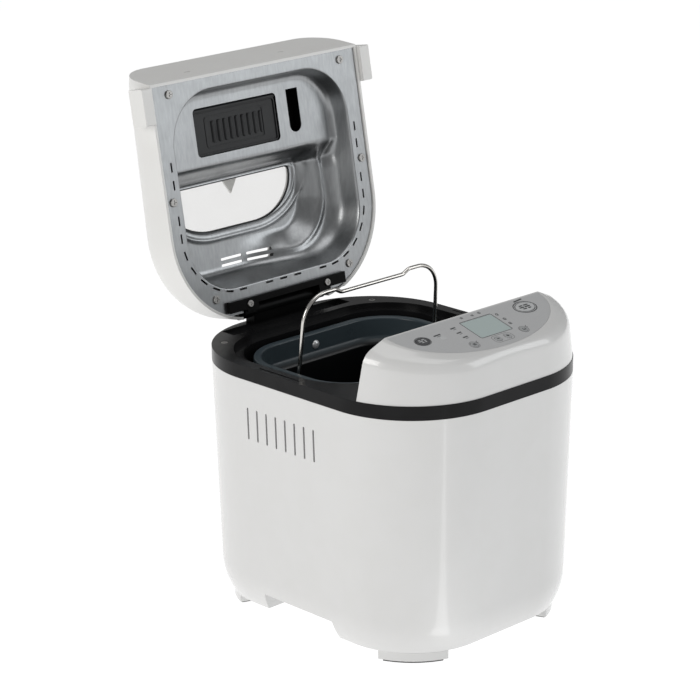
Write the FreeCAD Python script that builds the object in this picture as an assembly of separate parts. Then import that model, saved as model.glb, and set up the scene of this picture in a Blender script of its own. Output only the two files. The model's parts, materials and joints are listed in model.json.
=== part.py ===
import FreeCAD, Part
import math
import os

# Bread machine with a hinged lid, a lift-out pan and a belt-driven kneading paddle.
#
# Millimetres, +Z up.  The control panel faces -Y, the lid hinge is at +Y.
# Everything is drawn about the middle of the casing; the lid is drawn closed
# and then swung open, and at the end the whole model is moved so that the
# origin lies under the middle of its overall box, on the surface it stands on.

V = FreeCAD.Vector
X = V(1, 0, 0)
Y = V(0, 1, 0)
Z = V(0, 0, 1)

# ---------------------------------------------------------------- driving sizes
# bread pan
pan_half_w = 96.0
pan_half_d = 73.0
pan_height = 150.0
pan_corner_r = 50.0
pan_wall = 2.0
pan_floor = 2.5
pan_lip_w = 5.0
pan_lip_t = 2.5
pan_lip_drop = 7.0
pan_step_drop = 20.0
pan_step_in = 5.5
pan_draft = 6.0

# room around the pan
mouth_gap = 6.0
mouth_corner_r = 50.0
ledge_w = 8.5
ledge_drop = 5.0
side_ring_w = 12.2
back_ring_w = 31.5
bay_depth = 98.0
pan_below_rim = 7.0
oven_gap = 3.2
sheet = 0.8

# casing
corner_r = 85.0
wall = 2.5
band_h = 12.2
side_taper = 0.03
base_z = 10.5
base_curve_h = 30.0
base_curve_in = 8.0
oven_floor_z = 50.0
vent_count = 8
vent_pitch = 11.6
vent_w = 2.0
vent_h = 28.6
vent_below_rim = 37.0
vent_mid_y = 10.5
grip_len = 84.0
grip_slope = 3.0
grip_h = 16.0
grip_depth = 20.0
grip_mid_y = -1.0
foot_pad_h = 2.0
foot_w = 17.0
foot_span = 51.0
foot_edge = 1.0

# control housing
housing_rise = 49.0
panel_slope = 0.28
housing_inset = 0.5
housing_crease_in = 4.3
housing_crease_rises = (39.3, 34.2, 31.0)
housing_back_slope = 0.106
crown_margin = 1.2
lid_front_gap = 8.0
overlay_t = 1.0
overlay_half_w = 91.5
overlay_len = 53.0
overlay_margin = 1.5
board_t = 1.6
board_drop = 8.0
lcd_x = 4.0
lcd_v = -23.5
lcd_w = 36.5
lcd_l = 26.0
key_travel = 0.6
key_gap = 0.3

# lid
lid_over_mouth = 22.5
lid_angle = 100.0
lid_gap = 0.5
lid_front_rise = 46.5
lid_top_slope = 0.035
lid_round = 30.0
lid_front_lean = 11.0
hinge_back = 6.5
hinge_rise = 11.5
hinge_r = 6.5
hinge_relief = 2.5
hinge_plate_t = 3.0
hinge_plate_half = 70.0
hinge_plate_s = 14.0
hinge_arm_in = 37.5
hinge_arm_out = 50.5
hinge_pin_r = 2.0
hinge_screw_head = 1.4
running_gap = 0.05
liner_in = 1.6
tab_out = 11.6
tab_s0 = 180.0
tab_s1 = 212.0
tab_drop = 4.0
tab_rise = 14.0
pocket_back_s = 25.0
pocket_front_s = 201.0
pocket_half = 103.0
pocket_r = 48.0
platform_t = 20.0
platform_s = 131.0
shelf_t = 31.0
pocket_t = 44.0
window_half = 60.0
window_s0 = 73.0
window_s1 = 115.0
window_r = 30.0
pane_t = 2.1
hopper_x0 = -62.8
hopper_x1 = 35.2
hopper_s0 = 141.0
hopper_s1 = 184.0
hopper_wall = 2.2
flap_t = 2.0
flap_pin_r = 1.2
cover_t = 1.4
cover_floor_gap = 0.3

# drive
spindle_r = 4.0
pulley_big_r = 40.0
pulley_small_r = 8.0
belt_t = 1.6
belt_w = 6.0
motor_from_front = 48.0
motor_r = 31.0
motor_shaft_r = 3.0
bracket_z = 30.0
bracket_t = 1.6
dog_lug_h = 7.0
bail_r = 1.75
bail_half = 83.1
bail_top_half = 79.4
bail_rise = 76.9
bail_bend_r = 25.0
bail_drop = 3.8
bail_flat_half = 37.4
bail_lean = 5.0
bail_below_lip = 12.0
bail_rest_gap = 0.6
heater_r = 3.25

# ---------------------------------------------------------------- sizes that follow
mouth_a = pan_half_w + mouth_gap
mouth_b = pan_half_d + mouth_gap
ledge_a = mouth_a + ledge_w
ledge_b = mouth_b + ledge_w
half_width = ledge_a + side_ring_w
half_depth = (2 * mouth_b + ledge_w + back_ring_w + bay_depth) / 2
pan_y = half_depth - back_ring_w - ledge_w - mouth_b
pan_base_z = oven_floor_z + 27.5
pan_lip_z = pan_base_z + pan_height
rim_z = pan_lip_z + pan_below_rim
band_z = rim_z - band_h
motor_y = motor_from_front - half_depth
plate_z = rim_z + lid_gap
hinge_y = half_depth - hinge_back
hinge_z = plate_z + hinge_rise
lid_front_s = hinge_y - pan_y + mouth_b + lid_over_mouth
housing_back_y = hinge_y - lid_front_s - lid_front_gap
housing_top_y = housing_back_y - housing_back_slope * housing_rise
housing_top_z = rim_z + housing_rise
panel_angle = math.degrees(math.atan(panel_slope))
oven_a = mouth_a + oven_gap
oven_b = mouth_b + oven_gap
oven_r = mouth_corner_r + oven_gap
bail_pivot_z = pan_lip_z - bail_below_lip
base_top_z = base_z + wall


# ---------------------------------------------------------------- drawing helpers
def rect_wire(a, b, r, z, cy=0.0):
    """Rounded rectangle of half sizes a and b, corner radius r, at height z."""
    r = min(r, a - 0.5, b - 0.5)
    c = r * math.cos(math.pi / 4)
    edges = []
    corners = [(a - r, b - r, 1, 1), (-(a - r), b - r, -1, 1),
               (-(a - r), -(b - r), -1, -1), (a - r, -(b - r), 1, -1)]
    for x, y, sx, sy in corners:
        ends = [V(x + sx * r, y + cy, z), V(x, y + sy * r + cy, z)]
        if sx * sy < 0:
            ends.reverse()
        edges.append((ends[0], V(x + sx * c, y + sy * c + cy, z), ends[1]))
    parts = []
    for i, (start, mid, end) in enumerate(edges):
        parts.append(Part.Arc(start, mid, end).toShape())
        after = edges[(i + 1) % 4][0]
        if end.distanceToPoint(after) > 1e-6:
            parts.append(Part.LineSegment(end, after).toShape())
    return Part.Wire(parts)


def slab(a, b, r, z0, z1, cy=0.0):
    """Upright prism of a rounded rectangle."""
    return Part.Face(rect_wire(a, b, r, z0, cy)).extrude(V(0, 0, z1 - z0))


def skin(sections, ruled=True):
    """Solid through (a, b, r, z, cy) sections."""
    wires = [rect_wire(*s) for s in sections]
    return Part.makeLoft(wires, True, ruled)


def block(x0, x1, y0, y1, z0, z1):
    return Part.makeBox(x1 - x0, y1 - y0, z1 - z0, V(x0, y0, z0))


def rod(r, z0, z1, x=0.0, y=0.0):
    return Part.makeCylinder(r, z1 - z0, V(x, y, z0), Z)


def rod_x(r, x0, x1, y, z):
    return Part.makeCylinder(r, x1 - x0, V(x0, y, z), X)


def rod_y(r, y0, y1, x, z):
    return Part.makeCylinder(r, y1 - y0, V(x, y0, z), Y)


def tube(r_out, r_in, z0, z1, x=0.0, y=0.0):
    return rod(r_out, z0, z1, x, y).cut(rod(r_in, z0 - 1, z1 + 1, x, y))


def union(shapes):
    return shapes[0].multiFuse(shapes[1:]).removeSplitter() if len(shapes) > 1 else shapes[0]


def prism(points, direction):
    """Extrude the closed polygon through the points."""
    return Part.Face(Part.makePolygon(points + [points[0]])).extrude(direction)


def rounded_path(points, radii):
    """Straight runs joined by tangent arcs; radii belong to the inner points."""
    edges = []
    start = points[0]
    for i in range(1, len(points) - 1):
        here = points[i]
        back = (points[i - 1] - here).normalize()
        on = (points[i + 1] - here).normalize()
        half = back.getAngle(on) / 2
        reach = radii[i - 1] / math.tan(half)
        first = here + back * reach
        last = here + on * reach
        middle = (back + on).normalize()
        centre = here + middle * (radii[i - 1] / math.sin(half))
        top = centre - middle * radii[i - 1]
        if start.distanceToPoint(first) > 1e-4:
            edges.append(Part.LineSegment(start, first).toShape())
        edges.append(Part.Arc(first, top, last).toShape())
        start = last
    edges.append(Part.LineSegment(start, points[-1]).toShape())
    return Part.Wire(edges)


def wire_rod(points, radii, r):
    """Round bar along a path of runs and arcs."""
    path = rounded_path(points, radii)
    ring = Part.Wire(Part.makeCircle(r, points[0], points[1] - points[0]))
    return path.makePipeShell([ring], True, True)


def mirror_x(shape):
    return shape.mirror(V(0, 0, 0), X)


def pair(shape):
    return [shape, mirror_x(shape)]


def tilted(shape, y, z, angle):
    """Move a shape drawn about the origin onto a plane that falls towards -Y."""
    out = shape.copy()
    out.rotate(V(0, 0, 0), X, angle)
    out.translate(V(0, y, z))
    return out


def on_panel(shape):
    return tilted(shape, housing_top_y, housing_top_z, panel_angle)


def lid_y(s):
    """Y of a place s forward of the hinge line, with the lid closed."""
    return hinge_y - s


def lid_block(x0, x1, s0, s1, t0, t1):
    """Box in lid places: across, forward of the hinge, above the lid plate."""
    return block(x0, x1, lid_y(s1), lid_y(s0), plate_z + t0, plate_z + t1)


def open_lid(shape):
    out = shape.copy()
    out.rotate(V(0, hinge_y, hinge_z), X, -lid_angle)
    return out


# ---------------------------------------------------------------- casing
def wall_inset(z):
    """How far the casing has drawn in at height z."""
    inset = side_taper * (band_z - z)
    below = base_z + base_curve_h - z
    if below > 0:
        bend_r = (base_curve_h ** 2 + base_curve_in ** 2) / (2 * base_curve_in)
        inset += bend_r - math.sqrt(bend_r ** 2 - below ** 2)
    return inset


def casing_solid(inset, z_low):
    """Solid of the casing's outline, drawn in by inset, from z_low to the band."""
    def section(z):
        d = inset + wall_inset(z)
        return (half_width - d, half_depth - d, corner_r - d, z, 0.0)
    curve_top = base_z + base_curve_h
    upper = skin([section(curve_top), section(band_z)])
    steps = 5
    heights = [z_low + (curve_top - z_low) * i / steps for i in range(steps + 1)]
    lower = skin([section(z) for z in heights], ruled=False)
    return union([upper, lower])


def grip_solid(grow):
    """Hand grip recess under the left side, with sloping ends."""
    half = grip_len / 2 + grow
    top = base_z + grip_h + grow
    x_in = -(half_width - wall_inset(base_z) - grip_depth - grow)
    ends = [V(-half_width - 5, grip_mid_y - half - grip_slope, base_z - 1),
            V(-half_width - 5, grip_mid_y + half + grip_slope, base_z - 1),
            V(-half_width - 5, grip_mid_y + half, top),
            V(-half_width - 5, grip_mid_y - half, top)]
    return prism(ends, V(x_in + half_width + 5, 0, 0))


def outer_shell():
    outside = casing_solid(0.0, base_z)
    for grip in pair(grip_solid(0.0)):
        outside = outside.cut(grip)
    inside = casing_solid(wall, base_z - 0.01)
    for grip in pair(grip_solid(wall)):
        inside = inside.cut(grip)
    shell = outside.cut(inside)
    z_mid = rim_z - vent_below_rim - vent_h / 2
    first_y = vent_mid_y - vent_pitch * (vent_count - 1) / 2
    for i in range(vent_count):
        y = first_y + i * vent_pitch
        low = z_mid - vent_h / 2 + vent_w / 2
        high = z_mid + vent_h / 2 - vent_w / 2
        slot = block(-half_width - 5, -half_width + 20, y - vent_w / 2, y + vent_w / 2, low, high)
        ends = [rod_x(vent_w / 2, -half_width - 5, -half_width + 20, y, z) for z in (low, high)]
        shell = shell.cut(union([slot] + ends))
    return shell.cut(rod_y(gland_r, half_depth - 20, half_depth + 5, gland_x, gland_z))


gland_x = 24.0
gland_z = 56.0
gland_r = 7.0
gland_flange_r = 10.0
gland_fit = 0.1


def cord_gland():
    """Rubber bush where the mains lead would come out, in the back wall."""
    y = half_depth - wall_inset(gland_z)
    neck = rod_y(gland_r - gland_fit, y - wall - 3, y + 2, gland_x, gland_z)
    flange = rod_y(gland_flange_r, y - wall - 5, y - wall - 0.5, gland_x, gland_z)
    cap = rod_y(gland_flange_r, y + 0.5, y + 3, gland_x, gland_z)
    return union([neck, flange, cap]).cut(rod_y(3.5, y - 20, y + 20, gland_x, gland_z))


def bracket_posts():
    return [(40.0, motor_y - 24.0), (-40.0, motor_y - 24.0),
            (40.0, pan_y + 34.0), (-40.0, pan_y + 34.0)]


def board_posts():
    return [(x, board_y + dy) for dy in (-11.5, 11.5) for x in (-88.0, -56.0)]


power_board_z = 30.0
board_y = motor_y + 16.5
screw_hole_r = 1.75


def base_plate():
    d = wall_inset(base_z) + wall + 0.15
    plate = slab(half_width - d, half_depth - d, corner_r - d, base_z, base_top_z)
    for grip in pair(grip_solid(wall + 0.2)):
        plate = plate.cut(grip)
    posts = [rod(6, base_top_z - 1, bracket_z, x, y) for x, y in bracket_posts()]
    posts += [rod(4, base_top_z - 1, power_board_z, x, y) for x, y in board_posts()]
    body = union([plate] + posts)
    for x, y in bracket_posts():
        body = body.cut(rod(screw_hole_r, bracket_z - 9, bracket_z + 1, x, y))
    return body


def arc_block(r_in, r_out, span, z0, z1):
    """Four curved blocks, one under each rounded corner."""
    cx = half_width - corner_r
    cy = half_depth - corner_r
    pieces = []
    for sx, sy, mid in ((1, 1, 45), (-1, 1, 135), (-1, -1, 225), (1, -1, 315)):
        outer = Part.makeCylinder(r_out, z1 - z0, V(0, 0, z0), Z, span)
        inner = rod(r_in, z0 - 1, z1 + 1)
        piece = outer.cut(inner)
        piece.rotate(V(0, 0, 0), Z, mid - span / 2)
        piece.translate(V(sx * cx, sy * cy, 0))
        pieces.append(piece)
    return Part.makeCompound(pieces)


def foot_outer_r():
    return corner_r - wall_inset(base_z) - foot_edge


def feet():
    return arc_block(foot_outer_r() - foot_w, foot_outer_r(), foot_span, foot_pad_h, base_z)


def foot_pads():
    r = foot_outer_r()
    return arc_block(r - foot_w + 3, r - 2.5, foot_span - 6, 0.0, foot_pad_h)


def recess_s():
    return (1.3, hinge_plate_s + 3.2)


def collar():
    outside = slab(half_width, half_depth, corner_r, band_z, rim_z)
    under = slab(half_width - wall, half_depth - wall, corner_r - wall, band_z - 1, rim_z - 3)
    ring = outside.cut(under)
    s0, s1 = recess_s()
    pad = block(-74, 74, lid_y(s1 + 3), lid_y(s0 - 3), rim_z - 7, rim_z - 2)
    pad = pad.common(slab(half_width - 1, half_depth - 1, corner_r - 1, band_z, rim_z))
    tray = slab(ledge_a + wall, ledge_b + wall, mouth_corner_r + ledge_w + wall,
                rim_z - ledge_drop - wall, rim_z - 1, pan_y)
    throat = slab(mouth_a + 2, mouth_b + 2, mouth_corner_r + 2, rim_z - 19, rim_z - 6, pan_y)
    body = union([ring, pad, tray, throat])
    body = body.cut(slab(ledge_a, ledge_b, mouth_corner_r + ledge_w, rim_z - ledge_drop,
                         rim_z + 1, pan_y))
    body = body.cut(slab(mouth_a, mouth_b, mouth_corner_r, rim_z - 30, rim_z + 1, pan_y))
    floor = plate_z - hinge_plate_t - hinge_screw_head - 0.6
    half = hinge_plate_half + 1
    body = body.cut(block(-half, half, lid_y(s1), lid_y(s0), floor, rim_z + 1))
    slit = block(-half_width + 4.2, -half_width + 6.0, -9, 39, rim_z - 1.2, rim_z + 1)
    for groove in pair(slit):
        body = body.cut(groove)
    for x, y in rim_screw_places():
        body = body.cut(rod(1.8, rim_z - 10, rim_z + 1, x, y))
        body = body.cut(rod(3.6, rim_z - 1.5, rim_z + 1, x, y))
    return body


def rim_screw_places():
    x = half_width - 32.7
    return [(x, half_depth - 33), (-x, half_depth - 33), (x, -half_depth + 38), (-x, -half_depth + 38)]


def screw(head_r, head_h, shank_r, length):
    """Pan head screw pointing down, the underside of its head at z = 0."""
    head = Part.makeCylinder(head_r, head_h, V(0, 0, 0), Z)
    head = head.makeFillet(head_h * 0.35, [head.Edges[0]])
    slot = block(-head_r * 0.6, head_r * 0.6, -0.35, 0.35, head_h * 0.5, head_h + 1)
    cross = block(-0.35, 0.35, -head_r * 0.6, head_r * 0.6, head_h * 0.5, head_h + 1)
    shank = Part.makeCylinder(shank_r, length, V(0, 0, -length), Z)
    return union([head, shank]).cut(union([slot, cross]))


def placed(shape, x, y, z):
    out = shape.copy()
    out.translate(V(x, y, z))
    return out


def collar_screws():
    one = screw(3.3, 1.4, 1.7, 7.0)
    return Part.makeCompound([placed(one, x, y, rim_z - 1.5) for x, y in rim_screw_places()])


def oven_top_z():
    return rim_z - ledge_drop - wall


def oven_liner():
    outside = slab(oven_a + sheet, oven_b + sheet, oven_r + sheet, oven_floor_z, oven_top_z(), pan_y)
    inside = slab(oven_a, oven_b, oven_r, oven_floor_z + sheet, oven_top_z() + 1, pan_y)
    liner = outside.cut(inside)
    liner = liner.cut(rod(bearing_r, oven_floor_z - 2, oven_floor_z + 4, 0, pan_y))
    for x in (-20, 20):
        liner = liner.cut(rod_y(heater_r + 0.3, pan_y - oven_b - 5, pan_y - oven_b + 5, x, heater_z))
    return liner.cut(rod_y(3.1, pan_y - oven_b - 5, pan_y - oven_b + 5, probe_x, probe_z))


bearing_r = 9.0
heater_z = oven_floor_z + 18.0
heater_in = 9.0
probe_x = 62.0
probe_z = oven_floor_z + 45.0


def heater_points():
    a = oven_a - heater_in
    front = pan_y - oven_b + heater_in
    back = pan_y + oven_b - heater_in
    out = pan_y - oven_b - 14
    z = heater_z
    return [V(-20, out, z), V(-20, front, z), V(-a, front, z), V(-a, back, z),
            V(a, back, z), V(a, front, z), V(20, front, z), V(20, out, z)]


def heating_element():
    return wire_rod(heater_points(), [9, 38, 38, 38, 38, 9], heater_r)


def element_clips():
    """Steel saddles that carry the heating element off the oven floor."""
    a = oven_a - heater_in
    back = pan_y + oven_b - heater_in
    floor = oven_floor_z + sheet
    places = [(-a, pan_y, 0), (a, pan_y, 0), (0, back, 90)]
    pieces = []
    for x, y, turn in places:
        post = block(-heater_r - 1.2, heater_r + 1.2, -5, 5, 0, heater_z - floor + heater_r + 1.2)
        bar = rod_y(heater_r + 0.04, -8, 8, 0, heater_z - floor)
        base = block(-heater_r - 1.2, heater_r + 1.2, -9, 9, 0, 1.2)
        clip = union([post.cut(block(-heater_r, heater_r, -6, 6, 1.2, heater_z - floor)), base]).cut(bar)
        clip.rotate(V(0, 0, 0), Z, turn)
        pieces.append(placed(clip, x, y, floor))
    return Part.makeCompound(pieces)


def temperature_probe():
    y = pan_y - oven_b
    stem = rod_y(3.0, y - 12, y + 6, probe_x, probe_z)
    flange = rod_y(6.0, y - sheet - 2, y - sheet, probe_x, probe_z)
    return union([stem, flange])


def pan_clips():
    """Spring steel strips on the oven floor that hold the pan's foot ring."""
    floor = oven_floor_z + sheet
    strip = block(foot_ring_r + 0.4, foot_ring_r + 1.4, pan_y - 9, pan_y + 9, floor, floor + 16)
    foot = block(foot_ring_r + 0.4, foot_ring_r + 12, pan_y - 9, pan_y + 9, floor, floor + 1)
    return Part.makeCompound(pair(union([strip, foot])))


foot_ring_r = 40.0


# ---------------------------------------------------------------- drive
def drive_bearing():
    """Flanged bush between the motor bracket and the oven floor."""
    barrel = rod(bearing_r - 0.1, bracket_z, oven_floor_z + 2.5, 0, pan_y)
    flange = rod(bearing_r + 5, bracket_z + bracket_t, bracket_z + bracket_t + 3, 0, pan_y)
    seat = rod(bearing_r + 3, oven_floor_z - 2, oven_floor_z, 0, pan_y)
    return union([barrel, flange, seat]).cut(rod(spindle_r + running_gap, 0, 90, 0, pan_y))


def motor_bracket():
    plate = block(-48, 48, motor_y - motor_r - 1, pan_y + 42, bracket_z, bracket_z + bracket_t)
    plate = plate.cut(rod(bearing_r, 0, 90, 0, pan_y))
    plate = plate.cut(rod(8, 0, 90, 0, motor_y))
    for x, y in bracket_posts():
        plate = plate.cut(rod(1.8, 0, 90, x, y))
    return plate


def bracket_screws():
    one = screw(3.6, 2.0, 1.7, 9.0)
    return Part.makeCompound([placed(one, x, y, bracket_z + bracket_t) for x, y in bracket_posts()])


pulley_z = 17.5
dog_z = oven_floor_z + 3.2


def drive_shaft():
    return rod(spindle_r, pulley_z - 1.5, dog_z + 3, 0, pan_y)


def drive_dog():
    """Lower half of the coupling, two lugs that stand up from a disc."""
    disc = tube(14, spindle_r, dog_z, dog_z + 3, 0, pan_y)
    lug = block(8, 13, pan_y - 3, pan_y + 3, dog_z + 2, dog_z + 3 + dog_lug_h)
    return union([disc, lug, block(-13, -8, pan_y - 3, pan_y + 3, dog_z + 2, dog_z + 3 + dog_lug_h)])


def pulley(r, y, bore):
    """Flat belt pulley with two flanges."""
    body = rod(r, pulley_z, pulley_z + belt_w + 2.6, 0, y)
    low = rod(r + belt_t + 0.8, pulley_z, pulley_z + 1, 0, y)
    high = rod(r + belt_t + 0.8, pulley_z + belt_w + 1.6, pulley_z + belt_w + 2.6, 0, y)
    return union([body, low, high]).cut(rod(bore, 0, 90, 0, y))


def drive_pulley():
    body = pulley(pulley_big_r, pan_y, spindle_r)
    for i in range(5):
        hole = rod(8, 0, 90, 0, pan_y + 24)
        hole.rotate(V(0, pan_y, 0), Z, 36 + 72 * i)
        body = body.cut(hole)
    return body


def motor_pulley():
    return pulley(pulley_small_r, motor_y, motor_shaft_r)


def belt_loop(grow, z0, z1):
    """Prism of the shape that a belt takes round both pulleys."""
    span = pan_y - motor_y
    lean = math.asin((pulley_big_r - pulley_small_r) / span)
    big = pulley_big_r + grow
    small = pulley_small_r + grow
    c, s = math.cos(lean), -math.sin(lean)
    right = [V(big * c, pan_y + big * s, z0), V(small * c, motor_y + small * s, z0)]
    left = [V(-p.x, p.y, z0) for p in right]
    edges = [Part.LineSegment(right[0], right[1]).toShape(),
             Part.Arc(right[1], V(0, motor_y - small, z0), left[1]).toShape(),
             Part.LineSegment(left[1], left[0]).toShape(),
             Part.Arc(left[0], V(0, pan_y + big, z0), right[0]).toShape()]
    return Part.Face(Part.Wire(edges)).extrude(V(0, 0, z1 - z0))


def drive_belt():
    z0 = pulley_z + 1.3
    outside = belt_loop(belt_t + running_gap, z0, z0 + belt_w)
    return outside.cut(belt_loop(running_gap, z0 - 1, z0 + belt_w + 1))


motor_z0 = bracket_z + bracket_t
motor_z1 = motor_z0 + 66.0


def motor_frame():
    """Motor can with a bearing boss at each end."""
    can = tube(motor_r, motor_r - 2, motor_z0, motor_z1, 0, motor_y)
    low = rod(motor_r - 1, motor_z0, motor_z0 + 3, 0, motor_y)
    low_boss = rod(8, motor_z0, motor_z0 + 9, 0, motor_y)
    high = rod(motor_r - 1, motor_z1 - 3, motor_z1, 0, motor_y)
    high_boss = rod(8, motor_z1 - 9, motor_z1, 0, motor_y)
    body = union([can, low, low_boss, high, high_boss])
    for i in range(6):
        slot = block(motor_r - 6, motor_r + 4, motor_y - 5, motor_y + 5, motor_z0 + 12, motor_z1 - 12)
        slot.rotate(V(0, motor_y, 0), Z, 30 + 60 * i)
        body = body.cut(slot)
    return body.cut(rod(motor_shaft_r + running_gap, 0, 200, 0, motor_y))


def motor_stator():
    z0 = motor_z0 + 13
    z1 = motor_z1 - 13
    core = tube(motor_r - 2.05, 17, z0, z1, 0, motor_y)
    coils = []
    for i in range(6):
        coil = block(19, 26, motor_y - 6, motor_y + 6, z0 - 3, z1 + 3)
        coil.rotate(V(0, motor_y, 0), Z, 60 * i)
        coils.append(coil)
    return union([core] + coils)


def motor_rotor():
    shaft = rod(motor_shaft_r, pulley_z - 1, motor_z1 + 14, 0, motor_y)
    return union([shaft, rod(16.5, motor_z0 + 14, motor_z1 - 14, 0, motor_y)])


def cooling_fan():
    z0 = motor_z1 + 3
    blades = [tube(7, motor_shaft_r, z0, z0 + 9, 0, motor_y), tube(26, 6.5, z0, z0 + 1.2, 0, motor_y)]
    for i in range(9):
        blade = block(6, 25, motor_y - 0.6, motor_y + 0.6, z0, z0 + 9)
        blade.rotate(V(0, motor_y, 0), Z, 40 * i)
        blades.append(blade)
    return union(blades)


def power_board():
    z = power_board_z
    y = board_y
    pieces = [block(-94, -50, y - 16.5, y + 16.5, z, z + board_t),
              block(-92, -78, y - 14.5, y - 0.5, z + board_t, z + 20),
              block(-74, -56, y - 12.5, y + 9.5, z + board_t, z + 24),
              rod(5, z + board_t, z + 22, -85, y + 8.5)]
    return union(pieces)


# ---------------------------------------------------------------- control housing
def back_wall_y(z):
    return housing_back_y - housing_back_slope * (z - rim_z)


def front_wire(inset, back_y, heights):
    """Front outline of the casing drawn in by inset, closed by a straight back.

    Heights are those of the corner arc's start, middle and end.
    """
    r = corner_r - inset
    cx = half_width - corner_r
    cy = corner_r - half_depth
    first = math.asin((cy - back_y) / r)
    left = []
    for share, z in zip((0.0, 0.5, 1.0), heights):
        turn = first + (math.pi / 2 - first) * share
        left.append(V(-cx - r * math.cos(turn), cy - r * math.sin(turn), z))
    right = [V(-p.x, p.y, p.z) for p in reversed(left)]
    edges = [Part.Arc(*left).toShape(), Part.LineSegment(left[2], right[0]).toShape(),
             Part.Arc(*right).toShape(), Part.LineSegment(right[2], left[0]).toShape()]
    return Part.Wire(edges)


def crown_wire(drop, back):
    """Edge of the housing's flat top: straight back, oval front, on the panel's slope."""
    a = overlay_half_w + crown_margin
    b = overlay_margin + overlay_len + crown_margin
    split = math.radians(72)
    def run(start, end):
        places = []
        for i in range(9):
            turn = start + (end - start) * i / 8
            places.append(V(-a * math.cos(turn), min(-b * math.sin(turn), -back), -drop))
        curve = Part.BSplineCurve()
        curve.interpolate(places)
        return curve.toShape()
    runs = [run(0.0, split), run(split, math.pi - split), run(math.pi - split, math.pi)]
    ends = [V(-a, -back, -drop), V(a, -back, -drop)]
    return on_panel(Part.Wire(runs + [Part.LineSegment(ends[1], ends[0]).toShape()]))


def housing_solid(shrink):
    """Housing on the front of the collar: drafted walls, a sloping shoulder, a flat top."""
    low = front_wire(housing_inset + shrink, housing_back_y - shrink, (rim_z,) * 3)
    crease = [rim_z + rise - shrink for rise in housing_crease_rises]
    back = back_wall_y(crease[0]) - shrink
    middle = front_wire(housing_crease_in + shrink, back, crease)
    return Part.makeLoft([low, middle, crown_wire(shrink, shrink)], True, True)


front_row_v = -overlay_margin - overlay_len + 12.5
key_places = {
    "menu_key": (-28.6, front_row_v, 3.6, 3.6),
    "minus_key": (-2.0, front_row_v - 2.0, 3.4, 3.4),
    "plus_key": (9.5, front_row_v - 2.0, 3.4, 3.4),
    "crust_key": (31.4, front_row_v, 3.6, 3.6),
    "start_key": (-66.5, -18.7, 7.2, 5.4),
    "stop_key": (61.0, -15.0, 10.0, 6.6),
}


def oval(x, v, rx, ry, w0, w1):
    """Upright prism of an ellipse, drawn on the flat panel."""
    if abs(rx - ry) < 1e-6:
        ring = Part.makeCircle(rx, V(x, v, w0))
    else:
        ring = Part.Ellipse(V(x + rx, v, w0), V(x, v + ry, w0), V(x, v, w0)).toShape()
    return Part.Face(Part.Wire(ring)).extrude(V(0, 0, w1 - w0))


def half_oval(a, length, w0, w1):
    """Panel outline: straight along the back, a half ellipse to the front."""
    curve = Part.Ellipse(V(a, -overlay_margin, w0), V(0, -overlay_margin - length, w0),
                         V(0, -overlay_margin, w0))
    half = Part.ArcOfEllipse(curve, 0, math.pi) if length < a else None
    ends = [half.StartPoint, half.EndPoint]
    edges = [half.toShape(), Part.LineSegment(ends[1], ends[0]).toShape()]
    face = Part.Face(Part.Wire(edges)).extrude(V(0, 0, w1 - w0))
    if face.BoundBox.YMax > 0:
        face = face.mirror(V(0, -overlay_margin, 0), Y)
    return face


def lcd_block(grow, w0, w1):
    return block(lcd_x - lcd_w / 2 - grow, lcd_x + lcd_w / 2 + grow,
                 lcd_v - lcd_l / 2 - grow, lcd_v + lcd_l / 2 + grow, w0, w1)


lamp_place = (-45.3, -21.8)
lamp_r = 3.0


def panel_holes(grow, w0, w1):
    holes = [oval(x, v, rx + grow, ry + grow, w0, w1) for x, v, rx, ry in key_places.values()]
    holes.append(rod(lamp_r + 0.05, w0, w1, lamp_place[0], lamp_place[1]))
    return holes


def control_housing():
    shell = housing_solid(0.0).cut(housing_solid(wall))
    seat = half_oval(overlay_half_w + 0.2, overlay_len + 0.2, -overlay_t, 5)
    shell = shell.cut(on_panel(seat))
    for hole in panel_holes(key_gap, -12, 5):
        shell = shell.cut(on_panel(hole))
    shell = shell.cut(on_panel(lcd_block(-1.5, -12, 5)))
    posts = []
    for x in (-78, -36, 40, 78):
        post = rod(2.5, -board_drop, -wall + 0.5, x, -6.5)
        posts.append(on_panel(post))
    return union([shell] + posts)


def panel_overlay():
    plate = half_oval(overlay_half_w, overlay_len, -overlay_t, 0.0)
    for hole in panel_holes(key_gap, -12, 5):
        plate = plate.cut(hole)
    return on_panel(plate.cut(lcd_block(0.1, -5, 5)))


def lcd_window():
    return on_panel(lcd_block(0.0, -overlay_t, -0.15))


def indicator_lens():
    stem = rod(lamp_r, -wall - 0.4, 0.1, lamp_place[0], lamp_place[1])
    head = rod(lamp_r + 1.2, -wall - 1.4, -wall - 0.1, lamp_place[0], lamp_place[1])
    return on_panel(union([stem, head]))


def lcd_module():
    return on_panel(lcd_block(2.0, -board_drop, -wall - 0.05))


key_flange_w = -wall - 0.3


def key_cap(name):
    x, v, rx, ry = key_places[name]
    cap = oval(x, v, rx, ry, key_flange_w - 1, 0.5)
    flange = oval(x, v, rx + 1.2, ry + 1.2, key_flange_w - 1, key_flange_w)
    return on_panel(union([cap, flange]))


def control_board():
    """Board with one small switch under each key."""
    plate = block(-82, 82, -52, -4.5, -board_drop - board_t, -board_drop)
    plate = plate.common(half_oval(overlay_half_w - 6, overlay_len - 3, -30, 0))
    switches = []
    for x, v, rx, ry in key_places.values():
        top = key_flange_w - 1 - key_travel - key_gap
        switches.append(block(x - 3, x + 3, v - 3, v + 3, -board_drop - 0.5, top - 1))
        switches.append(rod(1.6, top - 1.5, top, x, v))
    return on_panel(union([plate] + switches))


# ---------------------------------------------------------------- bread pan
def pan_levels(inset):
    """Half sizes of the pan from its lip down: above the step and below it."""
    top = pan_lip_w + inset
    low = top + pan_step_in
    foot = low + pan_draft
    return top, low, foot


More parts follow.
